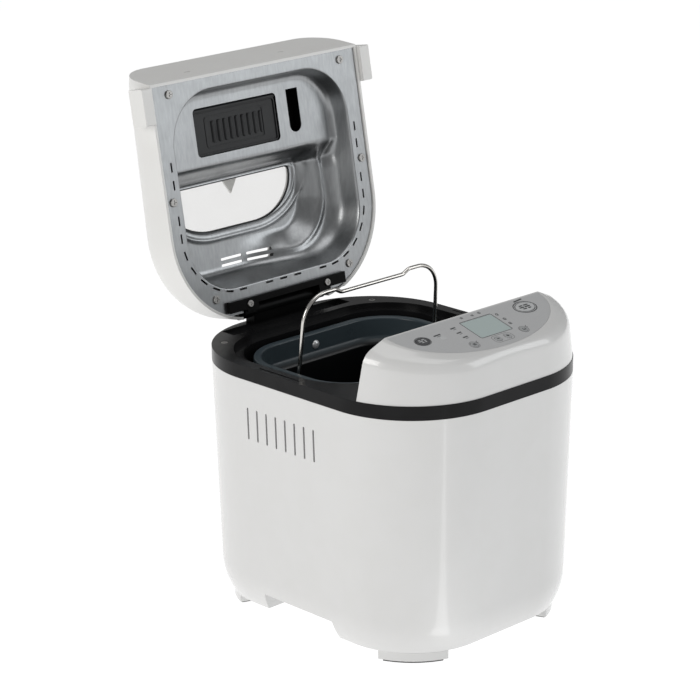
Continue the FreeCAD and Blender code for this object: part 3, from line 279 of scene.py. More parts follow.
def loft(name, rings, loop=False):
    """Skin through rings of points; loop joins the last ring to the first."""
    count = len(rings[0])
    points = [p for ring in rings for p in ring]
    rows = [list(range(k * count, (k + 1) * count)) for k in range(len(rings))]
    faces = [face for k in range(0 if loop else 1, len(rows)) for face in quads(rows[k - 1], rows[k])]
    if not loop:
        faces += [tuple(reversed(rows[0])), tuple(rows[-1])]
    return form(name, points, faces)


def level(points, z):
    return [(x, y, z) for x, y in points]


def plate(ring, z0, z1):
    """Flat outline given a thickness."""
    return loft("plate", [level(ring, z0), level(ring, z1)])


def slab(a, b, r, z0, z1, cy=0.0, cx=0.0, corner=12):
    return plate([(x + cx, y) for x, y in outline(a, b, r, corner, 1, cy)], z0, z1)


def block(x0, x1, y0, y1, z0, z1):
    return plate([(x0, y0), (x1, y0), (x1, y1), (x0, y1)], z0, z1)


def ellipse(x, y, rx, ry, count=48):
    return [(x + rx * c, y + ry * s) for c, s in arc(count, span=360)[:-1]]


def drum(x, y, r, z0, z1, ry=None, count=32):
    return plate(ellipse(x, y, r, ry or r, count), z0, z1)


def turned(obj, matrix):
    obj.data.transform(matrix)
    return obj


def prism_x(points, x0, x1):
    """Outline in y and z, carried across."""
    return loft("prism", [[(x0, y, z) for y, z in points], [(x1, y, z) for y, z in points]])


def lid_y(s):
    """Depth of a place s forward of the hinge line on the shut lid."""
    return hinge_y - s


def lid_block(x0, x1, s0, s1, t0, t1):
    return block(x0, x1, lid_y(s1), lid_y(s0), plate_z + t0, plate_z + t1)


def swept(name, line, r, count=16):
    """Round wire along a line of points."""
    line = [Vector(p) for p in line]
    rings = []
    side = (line[1] - line[0]).orthogonal()
    for i, here in enumerate(line):
        ahead = (line[min(i + 1, len(line) - 1)] - line[max(i - 1, 0)]).normalized()
        side = (side - ahead * side.dot(ahead)).normalized()
        across = ahead.cross(side)
        rings.append([here + (side * c + across * s) * r for c, s in arc(count, span=360)[:-1]])
    return loft(name, rings)


def rounded_line(corners, radii, steps=14):
    """Straight runs joined by arcs."""
    line = [Vector(corners[0])]
    for k in range(1, len(corners) - 1):
        here = Vector(corners[k])
        back = (Vector(corners[k - 1]) - here).normalized()
        on = (Vector(corners[k + 1]) - here).normalized()
        half = back.angle(on) / 2
        r = radii[k - 1]
        centre = here + (back + on).normalized() * (r / math.sin(half))
        first = here + back * (r / math.tan(half))
        last = here + on * (r / math.tan(half))
        for i in range(steps + 1):
            share = i / steps
            spoke = (first - centre).slerp(last - centre, share).normalized()
            line.append(centre + spoke * r)
    line.append(Vector(corners[-1]))
    return line


# ---- finishes
class Value:
    """A number that varies over a surface, for sums written as sums."""

    def __init__(self, finish, socket):
        self.finish = finish
        self.socket = socket

    def work(self, operation, first, second):
        node = self.finish.node("ShaderNodeMath", {"operation": operation}, {0: first, 1: second})
        return Value(self.finish, node.outputs[0])

    def __add__(self, other):
        return self.work("ADD", self, other)

    def __mul__(self, other):
        return self.work("MULTIPLY", self, other)

    def __sub__(self, other):
        return self.work("SUBTRACT", self, other)

    def __rsub__(self, other):
        return self.work("SUBTRACT", other, self)

    __radd__ = __add__
    __rmul__ = __mul__

    def band(self, low, high):
        """Nought below low, one above high, smooth between."""
        node = self.finish.node("ShaderNodeMapRange", {"interpolation_type": "SMOOTHSTEP"},
                                {"Value": self, "From Min": low, "From Max": high})
        return Value(self.finish, node.outputs[0])


class Finish:
    """One surface finish built on the standard shader."""

    def __init__(self, name, color, rough, metal=0.0, **fixed):
        self.material = bpy.data.materials.new(name)
        self.material.use_nodes = True
        self.tree = self.material.node_tree
        self.surface = self.tree.nodes["Principled BSDF"]
        self.color = tuple(color) + (1.0,)
        self.put("Base Color", self.color)
        self.put("Roughness", rough)
        self.put("Metallic", metal)
        for socket, value in fixed.items():
            self.put(socket.replace("_", " "), value)

    def put(self, socket, value):
        self.link(self.surface.inputs[socket], value)

    def link(self, socket, value):
        if isinstance(value, Value):
            value = value.socket
        if isinstance(value, bpy.types.NodeSocket):
            self.tree.links.new(value, socket)
        else:
            socket.default_value = value

    def node(self, kind, settings=None, inputs=None):
        node = self.tree.nodes.new(kind)
        for key, value in (settings or {}).items():
            setattr(node, key, value)
        for key, value in (inputs or {}).items():
            self.link(node.inputs[key], value)
        return node

    def where(self, stretch=(1, 1, 1)):
        """Place on the piece, stretched along an axis for a grain."""
        place = self.node("ShaderNodeTexCoord").outputs["Object"]
        return self.node("ShaderNodeMapping", None, {"Vector": place, "Scale": stretch}).outputs[0]

    def noise(self, size, detail=3.0, stretch=(1, 1, 1), seed=0.0):
        """Cloudy value between nought and one; size is in millimetres."""
        node = self.node("ShaderNodeTexNoise", {"noise_dimensions": "4D"},
                         {"Vector": self.where(stretch), "W": seed, "Scale": 1 / (size * MM),
                          "Detail": detail, "Roughness": 0.55})
        return Value(self, node.outputs[0])

    def specks(self, size):
        """Value that falls to nought at scattered points."""
        node = self.node("ShaderNodeTexVoronoi", {"feature": "F1"},
                         {"Vector": self.where(), "Scale": 1 / (size * MM)})
        return Value(self, node.outputs["Distance"])

    def blend(self, mask, first, second):
        node = self.node("ShaderNodeMix", {"data_type": "RGBA", "clamp_factor": True})
        self.link(node.inputs["Factor"], mask)
        for slot, color in ((6, first), (7, second)):
            self.link(node.inputs[slot], color + (1.0,) if isinstance(color, tuple) else color)
        return node.outputs[2]

    def tint(self, mask, second):
        """The finish's colour, blended to a second one where the mask is one."""
        self.put("Base Color", self.blend(mask, self.color[:3], second))
        return self

    def relief(self, height, depth):
        """Fine surface relief; depth is in millimetres."""
        node = self.node("ShaderNodeBump", None, {"Height": height, "Strength": 1.0, "Distance": depth * MM})
        self.put("Normal", node.outputs[0])
        return self


def moulded(name, color, shade, rough, grain=0.35, depth=0.012, **fixed):
    """Injection moulded plastic: faint mottling and a fine spark grain."""
    made = Finish(name, color, rough, **fixed)
    made.tint(made.noise(26, 2.0).band(0.35, 0.7), shade)
    made.put("Roughness", made.noise(9, 3.0, seed=2.0) * 0.10 + (rough - 0.05))
    made.relief(made.noise(grain, 2.0, seed=5.0), depth)
    return made.material


def metal_finish(name, color, shade, rough, stretch=(1, 1, 1), grain=0.5, depth=0.004, metal=1.0, **fixed):
    """Metal with a drawn or cast grain."""
    made = Finish(name, color, rough, metal, **fixed)
    made.tint(made.noise(grain * 5, 3.0, stretch).band(0.3, 0.75), shade)
    made.put("Roughness", made.noise(14, 3.0, seed=3.0) * 0.16 + (rough - 0.08))
    made.relief(made.noise(grain, 2.0, stretch, seed=7.0), depth)
    return made.material


def coated(name, color, shade, rough, metal=0.0, fleck=0.7, **fixed):
    """Non-stick coating: fine pale flecks in a dark film."""
    made = Finish(name, color, rough, metal, **fixed)
    made.tint((1 - made.specks(fleck).band(0.12, 0.3)) * 0.6, shade)
    made.put("Roughness", made.noise(18, 3.0) * 0.14 + (rough - 0.07))
    made.relief(made.noise(0.5, 2.0, seed=4.0), 0.01)
    return made.material


def film(name, color, rough, alpha, **fixed):
    """Clear or tinted pane with faint haze."""
    made = Finish(name, color, rough, **fixed)
    made.put("Roughness", made.noise(30, 2.0) * 0.05 + rough)
    made.put("Alpha", made.noise(40, 2.0) * 0.04 + alpha)
    return made.material


def wound(name, color, shade):
    """Copper winding in fine turns."""
    made = Finish(name, color, 0.35, 0.9)
    turns = made.noise(0.6, 1.0, (1, 1, 0.1))
    made.tint(turns.band(0.4, 0.6), shade)
    made.relief(turns, 0.05)
    return made.material


white = moulded("white_gloss_plastic", (0.70, 0.70, 0.695), (0.69, 0.69, 0.683), 0.24, 0.8, 0.004,
                Coat_Weight=0.6, Coat_Roughness=0.05)
# painted light: the lid's white is a lighter copy of the casing's white, standing in for the light on the
# lid
lid_white_painted_light = moulded("white_lid_plastic_painted_light", (0.76, 0.76, 0.745), (0.75, 0.745, 0.73), 0.30, 0.8, 0.004)
black_gloss = moulded("black_collar_plastic", (0.008, 0.008, 0.0085), (0.011, 0.011, 0.0115), 0.24,
                      0.4, 0.006, Specular_IOR_Level=0.13)
black_matt = moulded("black_matt_plastic", (0.003, 0.003, 0.003), (0.005, 0.005, 0.005), 0.36, 0.4, 0.02,
                     Specular_IOR_Level=0.06)
flap_black = moulded("black_flap_plastic", (0.009, 0.0095, 0.011), (0.012, 0.013, 0.014), 0.34, 0.4, 0.012,
                     Specular_IOR_Level=0.3)
rubber = moulded("black_rubber", (0.022, 0.022, 0.022), (0.03, 0.03, 0.03), 0.75, 0.5, 0.03)
gasket_grey = moulded("grey_silicone", (0.02, 0.02, 0.021), (0.03, 0.03, 0.031), 0.5, 0.5, 0.02)
liner_metal = metal_finish("satin_aluminium", (0.30, 0.308, 0.315), (0.35, 0.36, 0.368), 0.33,
                           (1, 1, 0.12), 0.45, 0.006)
oven_metal = metal_finish("oven_steel", (0.20, 0.205, 0.21), (0.26, 0.265, 0.27), 0.42, (1, 1, 0.2))
bright_metal = metal_finish("bright_wire", (0.62, 0.60, 0.57), (0.68, 0.66, 0.63), 0.20)
screw_metal = metal_finish("plated_steel", (0.30, 0.295, 0.285), (0.38, 0.37, 0.36), 0.34)
rivet_metal = metal_finish("rivet_steel", (0.70, 0.72, 0.73), (0.78, 0.79, 0.80), 0.28, metal=0.5)
cast_metal = metal_finish("cast_alloy", (0.36, 0.37, 0.38), (0.42, 0.43, 0.44), 0.5, (1, 1, 1), 0.7, 0.03)
bronze = metal_finish("sintered_bronze", (0.42, 0.28, 0.12), (0.5, 0.34, 0.16), 0.45)
motor_enamel = metal_finish("motor_enamel", (0.07, 0.07, 0.075), (0.09, 0.09, 0.095), 0.4, metal=0.4)
element_metal = metal_finish("element_sheath", (0.13, 0.12, 0.115), (0.2, 0.18, 0.16), 0.45)
copper = wound("copper_winding", (0.45, 0.19, 0.07), (0.3, 0.11, 0.04))
panel_silver = metal_finish("silver_panel_paint", (0.55, 0.555, 0.56), (0.58, 0.585, 0.59), 0.45,
                            (1, 1, 1), 0.25, 0.003, metal=0.3)
pan_coat = coated("pan_coating", (0.006, 0.0065, 0.007), (0.012, 0.013, 0.014), 0.36, 0.3,
                  Specular_IOR_Level=0.2)
display = film("display_glass", (0.46, 0.54, 0.53), 0.16, 0.97, Coat_Weight=0.5)
clear = film("clear_pane", (0.80, 0.78, 0.74), 0.08, 0.16)
ink = moulded("grey_print", (0.045, 0.05, 0.052), (0.06, 0.064, 0.066), 0.5)
faint_ink = moulded("faint_print", (0.14, 0.143, 0.146), (0.17, 0.172, 0.175), 0.5)
dark_key = moulded("dark_key", (0.055, 0.056, 0.06), (0.07, 0.071, 0.075), 0.36)
grey_key = moulded("grey_key", (0.36, 0.37, 0.375), (0.40, 0.41, 0.415), 0.38)
pale_key = moulded("pale_key", (0.52, 0.53, 0.535), (0.56, 0.57, 0.575), 0.34)
board_green = moulded("board_green", (0.02, 0.10, 0.045), (0.03, 0.13, 0.06), 0.4)
nylon = moulded("natural_nylon", (0.62, 0.60, 0.55), (0.66, 0.64, 0.60), 0.45)


# ---- casing
def wall_inset(z):
    """How far the casing has drawn in at height z."""
    inset = side_taper * (band_z - z)
    below = base_z + base_curve_h - z
    if below > 0:
        bend_r = (base_curve_h ** 2 + base_curve_in ** 2) / (2 * base_curve_in)
        inset += bend_r - math.sqrt(bend_r ** 2 - below ** 2)
    return inset


def casing_ring(d, z):
    """Outline of the casing drawn in by d."""
    return level(outline(half_width - d, half_depth - d, corner_r - d, 28, 6), z)


def casing_form(inset, z_low):
    curve_top = base_z + base_curve_h
    heights = [z_low + (curve_top - z_low) * i / 12 for i in range(12)]
    heights += [curve_top + (band_z - curve_top) * i / 8 for i in range(9)]
    if inset:
        heights[-1] += 1.0
    return loft("casing", [casing_ring(inset + wall_inset(z), z) for z in heights])


def grip_form(grow, side):
    """Hand grip recess under one side, with sloping ends."""
    half = grip_len / 2 + grow
    top = base_z + grip_h + grow
    x_in = half_width - wall_inset(base_z) - grip_depth - grow
    ends = [(grip_mid_y - half - grip_slope, base_z - 2), (grip_mid_y + half + grip_slope, base_z - 2),
            (grip_mid_y + half, top), (grip_mid_y - half, top)]
    return prism_x(ends, side * x_in, side * (half_width + 6))


def make_shell():
    shell = casing_form(0.0, base_z)
    boolean(shell, [grip_form(0.0, side) for side in (1, -1)])
    inside = casing_form(wall, base_z - 0.5)
    boolean(inside, [grip_form(wall, side) for side in (1, -1)])
    boolean(shell, [inside])
    vent_z = rim_z - vent_below_rim - vent_h / 2
    tools = []
    for i in range(vent_count):
        y = vent_mid_y + vent_pitch * (i - (vent_count - 1) / 2)
        ring = [(u + y, v + vent_z) for u, v in outline(vent_w / 2, vent_h / 2, vent_w / 2, 6, 1)]
        tools.append(prism_x(ring, -half_width - 6, -half_width + 22))
    gland_low, gland_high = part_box("cord_gland")
    ring = ellipse((gland_low.x + gland_high.x) / 2 / MM, (gland_low.z + gland_high.z) / 2 / MM, 7.1, 7.1)
    rows = [[(x, y, z) for x, z in ring] for y in (half_depth - 22, half_depth + 5)]
    tools.append(loft("gland_hole", rows))
    boolean(shell, tools)
    soften(shell, 0.7, 3)
    shell.name = "casing_shell"
    dress(shell, stand, "casing", white, ["outer_shell"])


def make_collar():
    def ring(size, z, cy=0.0):
        return level(outline(*size, 28, 4, cy), z)

    def grown(size, by):
        return tuple(v + by for v in size)

    outer = (half_width, half_depth, corner_r)
    inner = grown(outer, -wall)
    mouth = (mouth_a, mouth_b, mouth_r)
    throat = grown(mouth, 2.0)
    ledge = grown(mouth, ledge_w)
    under = grown(ledge, wall)
    ledge_z, mouth_z, skirt_z = rim_z - ledge_drop, rim_z - 19, rim_z - 3
    way_in = ((ledge, rim_z), (ledge, ledge_z), (mouth, ledge_z), (mouth, mouth_z), (throat, mouth_z),
              (throat, ledge_z - wall), (under, ledge_z - wall), (under, skirt_z))
    rings = [ring(outer, band_z), ring(outer, rim_z)] + [ring(size, z, pan_y) for size, z in way_in]
    body = loft("collar_ring", rings + [ring(inner, skirt_z), ring(inner, band_z)], loop=True)
    pad = block(-73.5, 73.5, lid_y(20.4), lid_y(-1.6), rim_z - 7, rim_z - 2.0)
    boolean(pad, [slab(half_width - 1, half_depth - 1, corner_r - 1, band_z, rim_z)], "INTERSECT")
    boolean(body, [pad], "UNION")
    boolean(body, [block(-71, 71, lid_y(17.2), lid_y(1.3), rim_z - 4.5, rim_z + 1)])
    recesses, bores = [], []
    for side in (1, -1):
        recesses.append(slab(0.9, 24.5, 0.9, rim_z - 1.2, rim_z + 1, 15.0, side * (half_width - 5.1), 6))
        x = side * (half_width - 32.7)
        for y in (half_depth - 33, 38 - half_depth):
            recesses.append(drum(x, y, 3.6, rim_z - 1.5, rim_z + 1))
            bores.append(drum(x, y, 1.8, rim_z - 10, rim_z - 1.0))
    boolean(body, recesses)
    boolean(body, bores)
    soften(body, 0.8, 3)
    body.name = "collar_top"
    dress(body, stand, "casing", black_gloss, ["collar"])


# ---- control housing and panel
def housing_rows(shrink):
    """Outline points of the housing at its foot, its crease and its flat top."""
    cx, cy = half_width - corner_r, corner_r - half_depth
    steps, front = 26, 10

    def foot_path(inset, back_y, heights):
        radius = corner_r - inset
        first = math.asin((cy - back_y) / radius)
        path = []
        for i in range(steps + 1):
            turn = first + (math.pi / 2 - first) * i / steps
            z = np.interp(i / steps, (0, 0.5, 1), heights)
            path.append(Vector((-cx - radius * math.cos(turn), cy - radius * math.sin(turn), z)))
        for i in range(1, front):
            path.append(path[steps].lerp(Vector((cx, path[steps].y, heights[2])), i / front))
        return path + [Vector((-p.x, p.y, p.z)) for p in reversed(path[:steps + 1])]

    def crown_path(drop):
        a = overlay_half_w + crown_margin
        b = overlay_margin + overlay_len + crown_margin
        split = 72.0
        turns = arc(steps, span=split) + arc(front, split, 180 - 2 * split)[1:-1]
        turns += [(-c, s) for c, s in reversed(turns[:steps + 1])]
        tilt = Matrix.Rotation(math.atan(panel_slope), 4, "X")
        base = Vector((0, housing_top_y, housing_top_z))
        return [tilt @ Vector((-a * c, min(-b * s, -drop), -drop)) + base for c, s in turns]

    low = foot_path(housing_inset + shrink, housing_back_y - shrink, (rim_z - (1.0 if shrink else 0.0),) * 3)
    heights = [rim_z + rise - shrink for rise in housing_crease_rises]
    back = housing_back_y - housing_back_slope * (heights[0] - rim_z) - shrink
    return low, foot_path(housing_crease_in + shrink, back, heights), crown_path(shrink)


def eased_profile(low, middle, high, reach=9.0, steps=9):
    """Points up the wall, round the crease and over the shoulder."""
    down, on = low - middle, high - middle
    first = middle + down.normalized() * min(reach, down.length * 0.45)
    last = middle + on.normalized() * min(reach, on.length * 0.55)
    line = [low.lerp(first, i / 4) for i in range(4)]
    for i in range(steps + 1):
        t = i / steps
        line.append(first * (1 - t) ** 2 + middle * (2 * t * (1 - t)) + last * t ** 2)
    return line + [last.lerp(high, i / 3) for i in range(1, 4)]


def housing_form(shrink):
    back_steps = 24
    columns = [eased_profile(*points) for points in zip(*housing_rows(shrink))]
    rings = []
    for row in zip(*columns):
        rings.append(list(row) + [row[-1].lerp(row[0], i / back_steps) for i in range(1, back_steps)])
    return loft("housing", rings)


def panel_tool(parts):
    """Tools drawn flat on the panel, set on the housing."""
    lay = stand.inverted() @ on_panel
    return [turned(part, lay) for part in parts]


def half_oval(a, length, w0, w1, count=64):
    """Straight along the back, a half ellipse to the front."""
    return plate([(-a * c, -overlay_margin - length * s) for c, s in arc(count, span=180)], w0, w1)


key_places = {
    "menu_key": (-28.6, front_row_v, 3.6, 3.6),
    "minus_key": (-2.0, front_row_v - 2.0, 3.4, 3.4),
    "plus_key": (9.5, front_row_v - 2.0, 3.4, 3.4),
    "crust_key": (31.4, front_row_v, 3.6, 3.6),
    "start_key": (-66.5, -18.7, 7.2, 5.4),
    "stop_key": (61.0, -15.0, 10.0, 6.6),
}


def key_holes(grow, w0, w1):
    holes = [drum(x, v, rx + grow, w0, w1, ry + grow, 48) for x, v, rx, ry in key_places.values()]
    return holes + [drum(lamp_x, lamp_v, lamp_r + 0.05, w0, w1)]


def make_housing():
    body = housing_form(0.0)
    boolean(body, [housing_form(wall)])
    boolean(body, panel_tool([half_oval(overlay_half_w + 0.2, overlay_len + 0.2, -overlay_t, 5)]))
    lcd = block(lcd_x - lcd_w / 2 + 1.5, lcd_x + lcd_w / 2 - 1.5,
                lcd_v - lcd_l / 2 + 1.5, lcd_v + lcd_l / 2 - 1.5, -12, 5)
    boolean(body, panel_tool(key_holes(key_gap, -12, 5) + [lcd]))
    soften(body, 0.9, 3, 34)
    body.name = "panel_housing"
    dress(body, stand, "casing", white, ["control_housing"])


def make_overlay():
    plate = half_oval(overlay_half_w, overlay_len, -overlay_t, 0.0)
    window = slab(lcd_w / 2 + 0.1, lcd_l / 2 + 0.1, 1.0, -5, 5, lcd_v, lcd_x, 6)
    boolean(plate, key_holes(key_gap, -12, 5) + [window])
    soften(plate, 0.2, 2)
    plate.name = "silver_panel"
    dress(plate, on_panel, "casing", panel_silver, ["panel_overlay"])
    glass = slab(lcd_w / 2, lcd_l / 2, 1.0, -overlay_t, -0.15, lcd_v, lcd_x, 6)
    soften(glass, 0.12, 2)
    glass.name = "display_window"
    dress(glass, on_panel, "casing", display, ["lcd_window"])


def make_keys():
    finishes = {"start_key": ("dark_key", dark_key), "stop_key": ("pale_key", pale_key)}
    low = -wall - 1.3
    for name, (x, v, rx, ry) in key_places.items():
        rows = [(1.2, low), (1.2, low + 1.0), (0.0, low + 1.0), (0.0, 0.15)]
        rows += [(-0.35 * (1 - c), 0.15 + 0.35 * s) for c, s in arc(4)[1:]]
        rows += [(-rx * 0.45, 0.44), (-rx * 0.75, 0.38)]
        cap = loft("cap", [level(ellipse(x, v, rx + d, max(ry + d, 0.6)), w) for d, w in rows])
        cap.name = name + "_cap"
        slot, finish = finishes.get(name, ("grey_key", grey_key))
        dress(cap, on_panel, name + "_body", finish, [name], 30)


def flat_bar(x, v, length, height, turn=0.0, r=0.4, w0=0.0, w1=ink_t):
    bar = slab(length / 2, height / 2, min(r, height / 2 - 0.01), w0, w1, corner=4)
    return turned(bar, Matrix.Translation((x, v, 0)) @ Matrix.Rotation(turn, 4, "Z"))


def flat_ring(x, v, rx, ry, width, start=0.0, span=1.0, count=48):
    """Thin printed ring, or part of one."""
    whole = span == 1.0
    turns = arc(max(6, int(count * span)), 360 * start, 360 * span)
    if whole:
        turns.pop()
    rows = [[(x + (rx + grow) * c, v + (ry + grow) * s, w) for c, s in turns]
            for grow, w in ((0.0, 0.0), (width, 0.0), (width, ink_t), (0.0, ink_t))]
    return loft("ring", rows, loop=True) if whole else loft("arc", [list(cut) for cut in zip(*rows)])


def framed_plate(x, v, half_x, half_v, r, width, w0=0.0, w1=ink_t):
    inner = outline(half_x, half_v, r, 8, 1)
    outer = outline(half_x + width, half_v + width, r + width, 8, 1)
    rows = [[(p + x, q + v, w) for p, q in ring]
            for ring, w in ((inner, w0), (outer, w0), (outer, w1), (inner, w1))]
    return loft("frame", rows, loop=True)


def make_prints():
    """Printed marks: rings round the keys, bars and small signs, all of them plain."""
    dark, faint = [], []
    tilt, upright = 0.06, math.pi / 2
    for x, v, length in ((-47.7, -16.5, 8.0), (-26.4, -13.9, 6.0), (-26.6, -21.6, 5.6), (-26.6, -29.1, 5.6)):
        dark.append(flat_bar(x, v, length, 1.5, tilt))
        faint.append(flat_bar(x + 0.4, v - 2.1, length * 0.6, 0.7, tilt))
    for x, v in ((27.7, -13.5), (28.6, -21.9), (27.9, -29.3)):
        dark += [flat_ring(x, v, 1.0, 1.0, 0.7, 0.1, 0.8), flat_bar(x + 0.2, v - 0.2, 2.6, 0.6, 0.5)]
    for x, v, r in ((-6.7, -4.6, 1.0), (5.7, -5.2, 0.9), (14.5, -4.6, 1.2)):
        dark += [flat_ring(x, v, r, r * 0.8, 0.5), flat_bar(x, v - 0.1, r * 2.4, 0.45, 0.9)]
    for name in ("menu_key", "crust_key"):
        x, v, rx, ry = key_places[name]
        faint.append(flat_ring(x, v, rx + 0.9, ry + 0.9, 0.35))
        dark.append(flat_ring(x + 5.9, v + 2.6, 0.9, 0.9, 0.5, 0.2, 0.6))
    low_x, low_v = key_places["minus_key"][:2]
    high_x = key_places["plus_key"][0]
    faint.append(framed_plate((low_x + high_x) / 2, low_v, (high_x - low_x) / 2 + 5.2, 4.9, 3.6, 0.35))
    x, v, rx, ry = key_places["stop_key"]
    dark += [flat_ring(x, v, rx + 1.6, ry + 1.5, 0.9, count=72),
             flat_ring(x, v, rx + 0.45, ry + 0.45, 0.35, count=72),
             flat_bar(x + 2.0, v + 11.0, 11.0, 1.6, 0.12, 0.6)]
    x, v, rx, ry = key_places["start_key"]
    dark += [flat_ring(x, v, rx + 0.6, ry + 0.6, 0.5, count=64),
             framed_plate(lcd_x, lcd_v, lcd_w / 2 + 0.35, lcd_l / 2 + 0.35, 1.2, 0.55)]
    dress(joined("panel_prints", dark), on_panel, "casing", ink)
    dress(joined("panel_faint_prints", faint), on_panel, "casing", faint_ink)
    # signs moulded on the keys: finish, rounding, lowest level, then the bars in rows of equal height
    signs = {
        "minus_key": (ink, 0.3, 0.42, ((0.8, 0, ((0, 0, 3.0),)),)),
        "plus_key": (ink, 0.3, 0.42, ((0.8, 0, ((0, 0, 3.0),)), (0.8, upright, ((0, 0, 3.0),)))),
        "menu_key": (ink, 0.3, 0.42, ((0.6, 0, ((0, 1.0, 3.0), (0, -0.1, 3.0), (0, -1.2, 3.0))),)),
        "crust_key": (ink, 0.3, 0.42, ((0.7, 0, ((0, -1.2, 3.2),)),
                                       (0.6, upright, ((-1.2, 0, 2.2), (1.2, 0, 2.2))))),
        "start_key": (pale_key, 0.4, 0.42, (
            (0.9, 0, ((-2.6, 1.9, 2.6), (1.6, 1.9, 3.6), (-2.0, 0.1, 4.4),
                      (2.9, 0.1, 2.0), (-1.2, -1.8, 2.6), (2.1, -1.8, 1.8))),)),
        "stop_key": (ink, 0.5, 0.40, (
            (1.5, 0, ((-3.4, 2.3, 4.2), (2.6, 2.3, 5.2), (-4.2, -0.2, 5.6),
                      (2.6, -0.2, 6.4), (-2.6, -2.7, 4.6), (3.0, -2.7, 3.6))),)),
    }
    for name, (finish, r, low, rows) in signs.items():
        x, v = key_places[name][:2]
        marks = [flat_bar(x + dx, v + dv, length, high, turn, r, low, 0.52)
                 for high, turn, bars in rows for dx, dv, length in bars]
        dress(joined(name + "_sign", marks), on_panel, name + "_body", finish)


# ---- pan
def pan_finish_painted_shade():
    """Coating that is blue-grey over the step, with painted shade that makes it near black in the deep of
    the pan.
    """
    made = Finish("pan_coating_with_painted_shade", (0.042, 0.058, 0.068), 0.3, Specular_IOR_Level=0.35)
    flecks = 1 - made.specks(0.3).band(0.12, 0.3)
    place = made.node("ShaderNodeTexCoord").outputs["Object"]
    height = Value(made, made.node("ShaderNodeSeparateXYZ", None, {"Vector": place}).outputs["Z"])
    step_z = (pan_lip_z - pan_step_drop) * MM
    # mask of the painted shade: nought below the pan's step, one above it
    above_painted_shade = height.band(step_z - 0.003, step_z + 0.003)
    speckled = made.blend(flecks * 0.6, made.color[:3], (0.09, 0.11, 0.12))
    # the near black below the step is painted shade for the deep of the pan, not the coating's own colour
    made.put("Base Color", made.blend(above_painted_shade, (0.0035, 0.004, 0.0045), speckled))
    made.put("Roughness", made.noise(18, 3.0) * 0.14 + 0.23)
    made.relief(made.noise(0.5, 2.0, seed=4.0), 0.01)
    return made.material


def make_pan():
    def ring(inset, z):
        return level(outline(pan_half_w - inset, pan_half_d - inset, max(pan_corner_r - inset, 6.0),
                             24, 8, pan_y), z)

    def hole(r, z):
        """Round ring with as many points as the others."""
        base = [Vector(p) for p in outline(pan_half_w - 20, pan_half_d - 20, 30.0, 24, 8)]
        return [(p.x / p.length * r, p.y / p.length * r + pan_y, z) for p in base]

    step_z = pan_lip_z - pan_step_drop
    inner_step = step_z + 0.6
    lip_low = pan_lip_z - pan_lip_drop
    floor_z = pan_base_z + pan_floor
    in_top = pan_lip_w + pan_wall
    low = pan_lip_w + pan_step_in
    foot = low + pan_draft
    flat = foot + pan_bend + 12
    lip_out, lip_in, step_h = 2.0, 1.8, 8.0
    rows = [ring(pan_wall, pan_lip_z - pan_lip_t), ring(pan_wall, lip_low), ring(0, lip_low),
            ring(0, pan_lip_z - 4)]
    rows += [ring(lip_out * (1 - c), pan_lip_z - lip_out * (1 - s)) for c, s in arc(5)]
    rows += [ring(in_top - lip_in * (1 - s), pan_lip_z - lip_in * (1 - c)) for c, s in arc(5)]
    rows.append(ring(in_top, pan_lip_z - 8))
    for share in (0.0, 0.2, 0.4, 0.6, 0.8, 1.0):
        eased_in = pan_step_in * share * share * (3 - 2 * share)
        rows.append(ring(in_top + eased_in, inner_step + 3 - step_h * share))
    rows.append(ring(low + pan_wall + 3.0, (inner_step - 5 + floor_z + pan_bend) / 2))
    rows += [ring(foot + pan_wall + pan_bend * (1 - c), floor_z + pan_bend * (1 - s)) for c, s in arc(6)]
    rows += [ring(flat + pan_wall, floor_z), hole(pan_seal_r + 6, floor_z), hole(pan_seal_r, floor_z),
             hole(pan_seal_r, pan_base_z), hole(pan_seal_r + 6, pan_base_z), ring(flat, pan_base_z)]
    rows += [ring(foot + pan_bend * (1 - c), pan_base_z + pan_bend * (1 - s)) for c, s in reversed(arc(6))]
    rows += [ring(low, step_z - 4), ring(pan_lip_w, step_z), ring(pan_lip_w, pan_lip_z - pan_lip_t)]
    pan = loft("pan", rows, loop=True)
    bore = ellipse(pan_y, bail_z, bail_r + 0.05, bail_r + 0.05, 24)
    boolean(pan, [prism_x(bore, -pan_half_w - 5, pan_half_w + 5)])
    tidy(pan)
    pan.name = "pan_body"
    # the pan's finish carries painted shade below the step
    dress(pan, stand, "pan", pan_finish_painted_shade(), ["bread_pan"], 40)


def make_rivets():
    heads = []
    r, high, count = 3.9, 2.1, 28
    z = pan_lip_z - pan_step_drop / 2 - 1
    for side in (1, -1):
        y = pan_y + side * (pan_half_d - pan_lip_w - pan_wall)
        rows = [[(x, y + side * 0.3, v + z) for x, v in ellipse(0, 0, r, r, count)]]
        rows += [[(x, y - side * high * s, v + z) for x, v in ellipse(0, 0, r * c, r * c, count)]
                 for c, s in arc(7)[:-1]]
        heads.append(loft("rivet", rows))
    dress(joined("rivet_heads", heads), stand, "pan", rivet_metal, ["pan_rivets"])


def make_bail():
    out = pan_half_w - 2.4
    half, top, rise, flat, drop = 83.1, 79.4, 76.9, 37.4, 3.8
    side = [(out, 0, 0), (half, 0, 0), (top, 0, rise), (flat + 7, 0, rise), (flat, 0, rise - drop)]
    corners = side + [(-x, y, z) for x, y, z in reversed(side)]
    radii = [4.5, 25.0, 9.0, 9.0]
    line = rounded_line(corners, radii + radii[::-1])
    lean = Matrix.Translation((0, pan_y, bail_z)) @ Matrix.Rotation(math.radians(5), 4, "X")
    wire = swept("bail_wire", [lean @ p for p in line], bail_r, 20)
    dress(wire, stand, "bail_body", bright_metal, ["bail"])


# ---- lid, drawn shut
def lid_height(y):
    """Height of the lid's sloping top above its plate."""
    return lid_front_rise + (lid_front_s + lid_front_lean - (hinge_y - y)) * lid_top_slope


